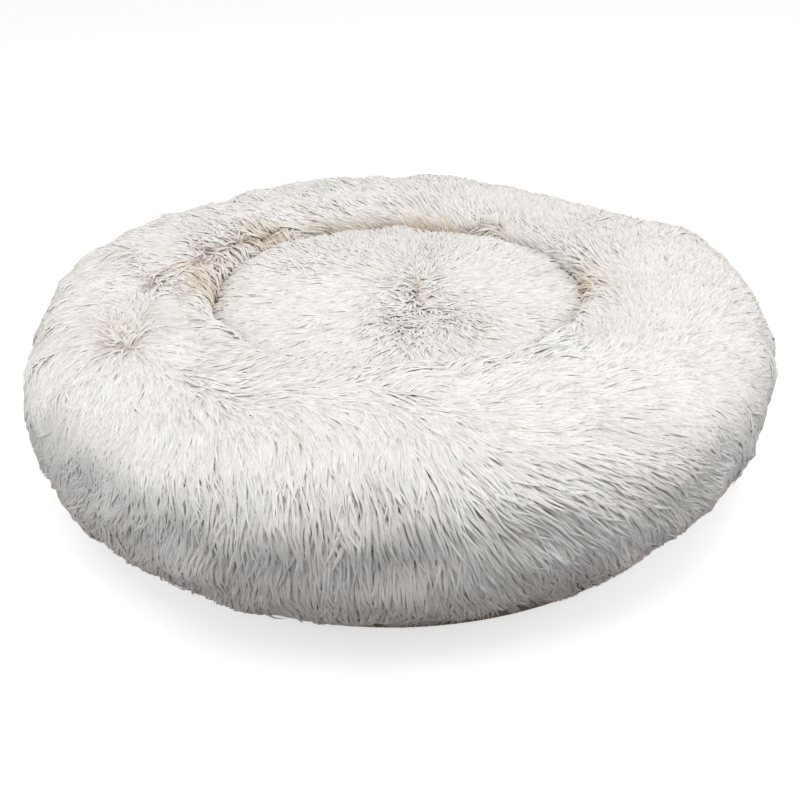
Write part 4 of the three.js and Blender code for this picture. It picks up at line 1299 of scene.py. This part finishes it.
def cushion_grid(inset, floor):
    """A cushion layer's points: its section carried round, less the hollows, rows from the top."""
    radius, height, crown = cushion_section(inset, floor, 40)
    angle = np.linspace(0, turn, CUSHION_COLUMNS, endpoint=False)[None, :]
    x, y = radius[1:, None] * np.cos(angle), radius[1:, None] * np.sin(angle)
    z = height[1:, None] - hollow_depth(x, y) * crown[1:, None]
    middle = [[0, 0, float(height[0] - hollow_depth(0.0, 0.0))]]
    return np.stack([x, y, z], -1).reshape(-1, 3), np.array(middle), len(radius) - 1


def cushion_layer(inset, floor):
    """A closed layer: the grid, a fan at its crown and a fan across its flat foot."""
    grid, middle, ring_count = cushion_grid(inset, floor)
    count = len(grid)
    squares = grid_quads(ring_count, CUSHION_COLUMNS, False, True)[:, ::-1]
    crown = fan(count, 0, CUSHION_COLUMNS)
    foot = fan(count + 1, count - CUSHION_COLUMNS, CUSHION_COLUMNS, True)
    return np.concatenate([grid, middle, [[0, 0, floor]]]), [squares, crown, foot]


cushion_filling = add_piece(
    "cushion_filling",
    *cushion_layer(FUR_THICKNESS + 2 * CLOTH_GAP + BAG_CLOTH, SEAM_LEVEL + BAG_CLOTH + CLOTH_GAP),
    fibre, "cushion",
)
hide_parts("cushion_fill")
bag_outside, (bag_squares, bag_crown, bag_foot) = cushion_layer(FUR_THICKNESS + CLOTH_GAP, SEAM_LEVEL)
bag_inside, _ = cushion_layer(FUR_THICKNESS + CLOTH_GAP + BAG_CLOTH, SEAM_LEVEL + BAG_CLOTH)
bag_slit = BAG_SLIT_ROW * CUSHION_COLUMNS + np.array(BAG_SLIT_COLUMNS)
bag_faces = [np.delete(bag_squares, bag_slit, axis=0), bag_crown, bag_foot]
cushion_bag = add_piece(
    "cushion_bag", *double_wall(bag_outside, bag_inside, bag_faces), liner_cloth, "cushion"
)
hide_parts("cushion_inner_bag")

# The cushion's fur cover
# The same plush as the ring's, in one top piece and a side piece. It is combed outwards from a whorl in
# the middle, and its edge at the back stands up in front of the ring.
CUSHION_LOCK_TRAVEL = 25 * mm
CUSHION_PITCH = 3.1 * mm
CUSHION_SIDE_PITCH = 5.0 * mm
CUSHION_DEPTH = 2.0 * mm
CUSHION_SWELL = 8 * mm
CUSHION_SWELL_MORE = 0.4
CUSHION_SWELL_PLACE, CUSHION_SWELL_SPREAD = 68 * mm, 22 * mm
CUSHION_TUFT_HEIGHT = 1.2 * mm
CUSHION_OVERHANG = 5.6 * mm
CUSHION_OVERHANG_PLACE, CUSHION_OVERHANG_SPREAD = 66 * mm, 14 * mm
CUSHION_SWAY, CUSHION_TWIST, CUSHION_TIDY_TWIST = 0.35, 0.13, 0.11
CUSHION_LENGTH_RANGE, CUSHION_MESSY_SHORTER = (0.75, 1.2), 0.4
CUSHION_LOCK_WIDTH = 3.68 * mm
CUSHION_CLUMPING = 0.4
CUSHION_NEUTRAL_TONE, CUSHION_TONE_SPREAD = 0.67, 0.07
CUSHION_FOOT_REACH = 20 * mm
CUSHION_SWAY_WAVES = (13, 30, 40 * mm, 120 * mm)
CUSHION_PATCH_WAVES = (14, 40, 22 * mm, 60 * mm)
CUSHION_TWIST_WAVES = (15, 60, 9 * mm, 30 * mm)
CUSHION_BEND_WAVES = (17, 30, 20 * mm, 50 * mm)
CUSHION_TONE_WAVES = (18, 40, 40 * mm, 120 * mm)
COVER_RINGS = 72
CROWN_STEPS = 400
CUSHION_COMBING = (
    (270, 262, 172), (300, 255, 156), (330, 246, 142), (360, 242, 126), (390, 240, 106), (420, 240, 91),
    (448, 244, 74), (475, 250, 50), (505, 262, 28), (535, 272, 18), (558, 285, 8), (250, 290, 178),
    (290, 285, 181), (330, 280, 180), (370, 272, 172), (395, 262, 150), (425, 252, 92), (455, 266, 12),
    (490, 272, 10), (530, 295, 4), (240, 320, 190), (280, 315, 189), (320, 310, 190), (360, 305, 190),
    (390, 300, 184), (440, 300, 0), (480, 302, 0), (530, 315, -2), (570, 312, -6), (245, 345, 188),
    (285, 340, 188), (330, 340, 196), (370, 335, 205), (400, 340, 235), (425, 345, -82), (450, 345, -58),
    (480, 335, -28), (515, 335, -10), (545, 335, -8), (300, 362, 204), (345, 362, 208), (385, 362, 235),
    (425, 365, -75), (455, 362, -55), (490, 358, -28), (225, 335, 190),
)
CUSHION_MESSY_SPOTS = (
    (428, 264, 14, 0.7), (415, 300, 24, 0.85), (405, 325, 28, 0.8), (440, 322, 20, 0.7), (300, 275, 12, 0.4),
    (470, 330, 14, 0.5), (275, 254, 14, 0.45), (325, 270, 16, 0.4), (368, 272, 14, 0.35),
)
# Painted light and shade in the cushion's tone, as on the ring: pixel place, reach across and down, and how far
# the tone moves from neutral
CUSHION_PAINTED_TONES = (
    (350, 262, 110, 16, -0.05),
    (415, 312, 50, 30, 0.02), (240, 300, 26, 50, -0.18), (560, 305, 40, 26, -0.04),
    (490, 345, 60, 24, -0.08), (300, 330, 80, 30, 0.02),
)

crown_radius, crown_height, crown_share = cushion_section(0, SEAM_LEVEL, CROWN_STEPS)
ground_radius, ground_height, _ = cushion_section(FUR_THICKNESS, SEAM_LEVEL, CROWN_STEPS)
cushion_way = np.concatenate([[0], np.cumsum(np.hypot(np.diff(crown_radius), np.diff(crown_height)))])
cushion_edge_way = float(cushion_way[CROWN_STEPS - 1])
cushion_whole_way = float(cushion_way[-1])


def cushion_cover(east, north, inset):
    """The cushion's cover unrolled flat: a place's distance from the middle is its way over the crown
    and down the side, and its direction is kept. The inset goes from the pile's tips to the backing."""
    distance = np.maximum(np.hypot(east, north), 1e-9)
    way = np.minimum(distance, cushion_whole_way)
    share = inset / FUR_THICKNESS
    tip_radius, low_radius, tip_height, low_height = (
        np.interp(way, cushion_way, side) for side in (crown_radius, ground_radius, crown_height, ground_height)
    )
    radius = tip_radius + (low_radius - tip_radius) * share
    height = tip_height + (low_height - tip_height) * share
    x, y = radius * east / distance, radius * north / distance
    z = height - hollow_depth(x, y) * np.interp(way, cushion_way, crown_share)
    return np.stack([x, y, np.maximum(z, CUSHION_FOOT)], -1)


def cushion_fur(east, north, inset):
    """The cover with its pile's own shape: a round swell above its edge, and tufts by a smooth noise."""
    away = (np.hypot(east, north) - cushion_edge_way + CUSHION_SWELL_PLACE) / CUSHION_SWELL_SPREAD
    tufts = smooth_noise(np.stack([east, north, 0 * east], -1), tuft_waves)
    fuller = 1 + CUSHION_SWELL_MORE * bump(np.degrees(np.arctan2(north, east)), *FULLER_SIDE)
    swell = CUSHION_SWELL * fuller * np.exp(-(away**2))
    return cushion_cover(east, north, inset - swell - CUSHION_TUFT_HEIGHT * tufts)


def cushion_depth(north, messy):
    """How far the soft ground lies below the cushion's tips: more towards the back and where pressed."""
    return CUSHION_DEPTH * (1 + 1.4 * smooth_step(0, 0.12, north)) + MESSY_DEPTH * messy


ring_ways = np.linspace(0, cushion_whole_way, COVER_RINGS + 1)[1:, None]
column_angles = np.linspace(0, turn, CUSHION_COLUMNS, endpoint=False)[None, :]
east, north = (ring_ways * np.cos(column_angles)).ravel(), (ring_ways * np.sin(column_angles)).ravel()
rough_grid = cushion_fur(east, north, CUSHION_DEPTH)
pressed = spot_strength(picture_place(rough_grid), np.ones(len(rough_grid)), CUSHION_MESSY_SPOTS)
pressed *= rough_grid[:, 2] > CUSHION_WIDEST
outer_grid = cushion_fur(east, north, cushion_depth(north, pressed))
inner_grid = cushion_cover(east, north, BACKING_INSET)
outer_middle = cushion_fur(np.zeros(1), np.zeros(1), CUSHION_DEPTH)
inner_middle = cushion_cover(np.zeros(1), np.zeros(1), BACKING_INSET)
cover_count = len(outer_grid)
cover_squares = grid_quads(COVER_RINGS, CUSHION_COLUMNS, False, True)[:, ::-1]
crown_fan = fan(2 * cover_count, 0, CUSHION_COLUMNS)
inner_fan = fan(2 * cover_count + 1, cover_count, CUSHION_COLUMNS, True)
foot_rim = ring_rim(cover_count - CUSHION_COLUMNS, 2 * cover_count - CUSHION_COLUMNS, CUSHION_COLUMNS)
cushion_ground = add_piece(
    "cushion_ground",
    np.concatenate([outer_grid, inner_grid, outer_middle, inner_middle]),
    [cover_squares, cover_squares[:, ::-1] + cover_count, foot_rim, crown_fan, inner_fan],
    fur_ground, "cushion",
)
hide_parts("cushion_fur_top")


def cushion_row(way):
    """A row's pitch, which is wide down the side, and its radius."""
    return (CUSHION_PITCH if way < cushion_edge_way else CUSHION_SIDE_PITCH), min(way, CUSHION_RADIUS)


chance = np.random.default_rng(22)
angle, distance = rows_of_roots(chance, 1.5 * mm, cushion_whole_way - 2 * mm, cushion_row)
root_east, root_north = distance * np.cos(angle), distance * np.sin(angle)
root_distance = np.hypot(root_east, root_north)
here = surface_frame(cushion_fur, root_east, root_north, 10 * mm, 0.3 * mm, 0.3 * mm)
point, along_a, along_b, normal = here
outward = np.stack([root_east, root_north], 1) / root_distance[:, None]
own = unit(outward[:, :1] * along_a + outward[:, 1:] * along_b)
sway = smooth_noise(point, lines_of_waves(*CUSHION_SWAY_WAVES)) * CUSHION_SWAY
own = unit(own + np.cross(normal, own) * sway[:, None])
first = unit(along_a)
second = np.cross(normal, first)
way, flow, pixel, facing = combed_locks(
    point, first, second, normal, own, CUSHION_COMBING, CUSHION_LOCK_TRAVEL
)
patches = smooth_noise(point, lines_of_waves(*CUSHION_PATCH_WAVES))
messy = with_patches(spot_strength(pixel, facing, CUSHION_MESSY_SPOTS), patches, 0.35)
twist = smooth_noise(point, lines_of_waves(*CUSHION_TWIST_WAVES)) * CUSHION_TWIST
twist += chance.normal(size=len(point)) * (CUSHION_TIDY_TWIST + MESSY_TWIST * messy)
way = turned(way, normal, twist)
travel = CUSHION_LOCK_TRAVEL * chance.uniform(*CUSHION_LENGTH_RANGE, len(point))
travel *= 1 - CUSHION_MESSY_SHORTER * messy
travel *= np.clip((cushion_whole_way - root_distance) / CUSHION_FOOT_REACH, 0.15, 1)
depth = cushion_depth(root_north, messy)
root_inset = depth + ROOT_DEPTH
loose = chance.random(len(point)) < LOOSE_SHARE + LOOSE_MESSY * messy
tip_inset = chance.uniform(*TIP_RANGE, len(point)) * depth - loose * chance.uniform(0.3, 1.8, len(point)) * mm
edge_away = (root_distance - cushion_edge_way + CUSHION_OVERHANG_PLACE) / CUSHION_OVERHANG_SPREAD
tip_inset -= CUSHION_OVERHANG * np.exp(-(edge_away**2)) * chance.uniform(0, 1, len(point)) ** 1.5
bend = drawn_bends(chance, flow, 0.12, smooth_noise(point, lines_of_waves(*CUSHION_BEND_WAVES)))
widths = CUSHION_LOCK_WIDTH * chance.uniform(*WIDTH_RANGE, len(point))
drift = smooth_noise(point, lines_of_waves(*CUSHION_TONE_WAVES))
tones = drawn_tones(
    chance, CUSHION_NEUTRAL_TONE, CUSHION_TONE_SPREAD, drift, tone_shift(pixel, facing, CUSHION_PAINTED_TONES)
)
clump = lean_to_clump(root_east, root_north, 1.0, CUSHION_CLUMPING * (1 + MESSY_CLUMPING * messy), 12)
lines = centre_lines(
    cushion_fur, root_east, root_north, here, way, travel, root_inset, tip_inset, bend, clump
)
on_top, at_left = root_distance < cushion_edge_way - 20 * mm, root_east < 0
cushion_parts = {"top_left": on_top & at_left, "top_right": on_top & ~at_left}
cushion_parts.update(side_left=~on_top & at_left, side_right=~on_top & ~at_left)
for part, chosen in cushion_parts.items():
    piece = locks(
        f"cushion_pile_{part}", lines[chosen], widths[chosen], normal[chosen], tones[chosen],
        messy[chosen], pile, "cushion"
    )
    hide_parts("cushion_fur_top")

# The cushion's underside
# A round of the base's woven cloth, sewn to the lower edge of the side. It closes the cushion's cover and
# lies on the well floor.
under_low, under_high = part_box("cushion_underside")
underside_radius = under_high.x
underside = cloth_round(
    "cushion_underside_cloth", underside_radius, under_low.z, under_high.z, 0.1 * mm, base_weave, "cushion"
)
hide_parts("cushion_underside")

# The room
# A plain white floor that the camera sees as paper white but for the bed's soft shadow. One large lamp
# hangs over the bed and one stands at each side of it, and a white world all round sends soft light back.
FLOOR_SIDE = 12
FLOOR_COLOUR = (0.55, 0.55, 0.55, 1)
FLOOR_BOUNCE = (0.28, 0.28, 0.28, 1)
FLOOR_GLOW = 0.62
WORLD_STRENGTH = 0.60
# Lamps: name, place, width and depth, and power
LAMPS = (
    ("key", (0.1, -0.35, 2.4), (2.4, 1.5), 33),
    ("left_side", (-1.9, -0.75, 0.9), (1.4, 1.0), 8),
    ("right_side", (2.0, -0.25, 1.1), (1.4, 1.0), 10),
)

floor_mesh = bpy.data.meshes.new("floor")
floor_corners = [(x * FLOOR_SIDE / 2, y * FLOOR_SIDE / 2, 0) for x, y in ((-1, -1), (1, -1), (1, 1), (-1, 1))]
floor_mesh.from_pydata(floor_corners, [], [(0, 1, 2, 3)])
floor = bpy.data.objects.new("floor", floor_mesh)
scene.collection.objects.link(floor)
floor_paper, tree, shader = plain_material("floor_paper", 0.9)
shader.inputs["Specular IOR Level"].default_value = 0.0
shader.inputs["Emission Color"].default_value = WHITE
seen = add_node(tree, "ShaderNodeLightPath")
floor_tone = add_node(tree, "ShaderNodeMix", {6: FLOOR_BOUNCE, 7: FLOOR_COLOUR}, data_type="RGBA")
glow = add_node(tree, "ShaderNodeMath", {1: FLOOR_GLOW}, operation="MULTIPLY")
wire(
    tree, (seen, "Is Camera Ray", floor_tone, 0), (floor_tone, 2, shader, "Base Color"),
    (seen, "Is Camera Ray", glow, 0), (glow, 0, shader, "Emission Strength"),
)
floor_mesh.materials.append(floor_paper)

world = bpy.data.worlds.new("studio")
scene.world = world
world.use_nodes = True
tree = world.node_tree
sky = tree.nodes["Background"]
sky.inputs["Color"].default_value = WHITE
path = add_node(tree, "ShaderNodeLightPath")
either = add_node(tree, "ShaderNodeMath", operation="MAXIMUM")
level = add_node(tree, "ShaderNodeMapRange", {"To Min": WORLD_STRENGTH, "To Max": 1.0})
wire(
    tree, (path, "Is Camera Ray", either, 0), (path, "Is Glossy Ray", either, 1),
    (either, 0, level, "Value"), (level, "Result", sky, "Strength"),
)

for name, place, (width, depth), power in LAMPS:
    lamp = bpy.data.objects.new(name, bpy.data.lights.new(name, "AREA"))
    lamp.data.shape = "RECTANGLE"
    lamp.data.size = width
    lamp.data.size_y = depth
    lamp.data.energy = power
    lamp.location = place
    away = np.array(place) - [0, 0, 0.1]
    tilt = math.atan2(math.hypot(away[0], away[1]), away[2])
    lamp.rotation_euler = (tilt, 0, math.atan2(away[1], away[0]) + math.pi / 2)
    scene.collection.objects.link(lamp)

scene.view_settings.view_transform = "Standard"
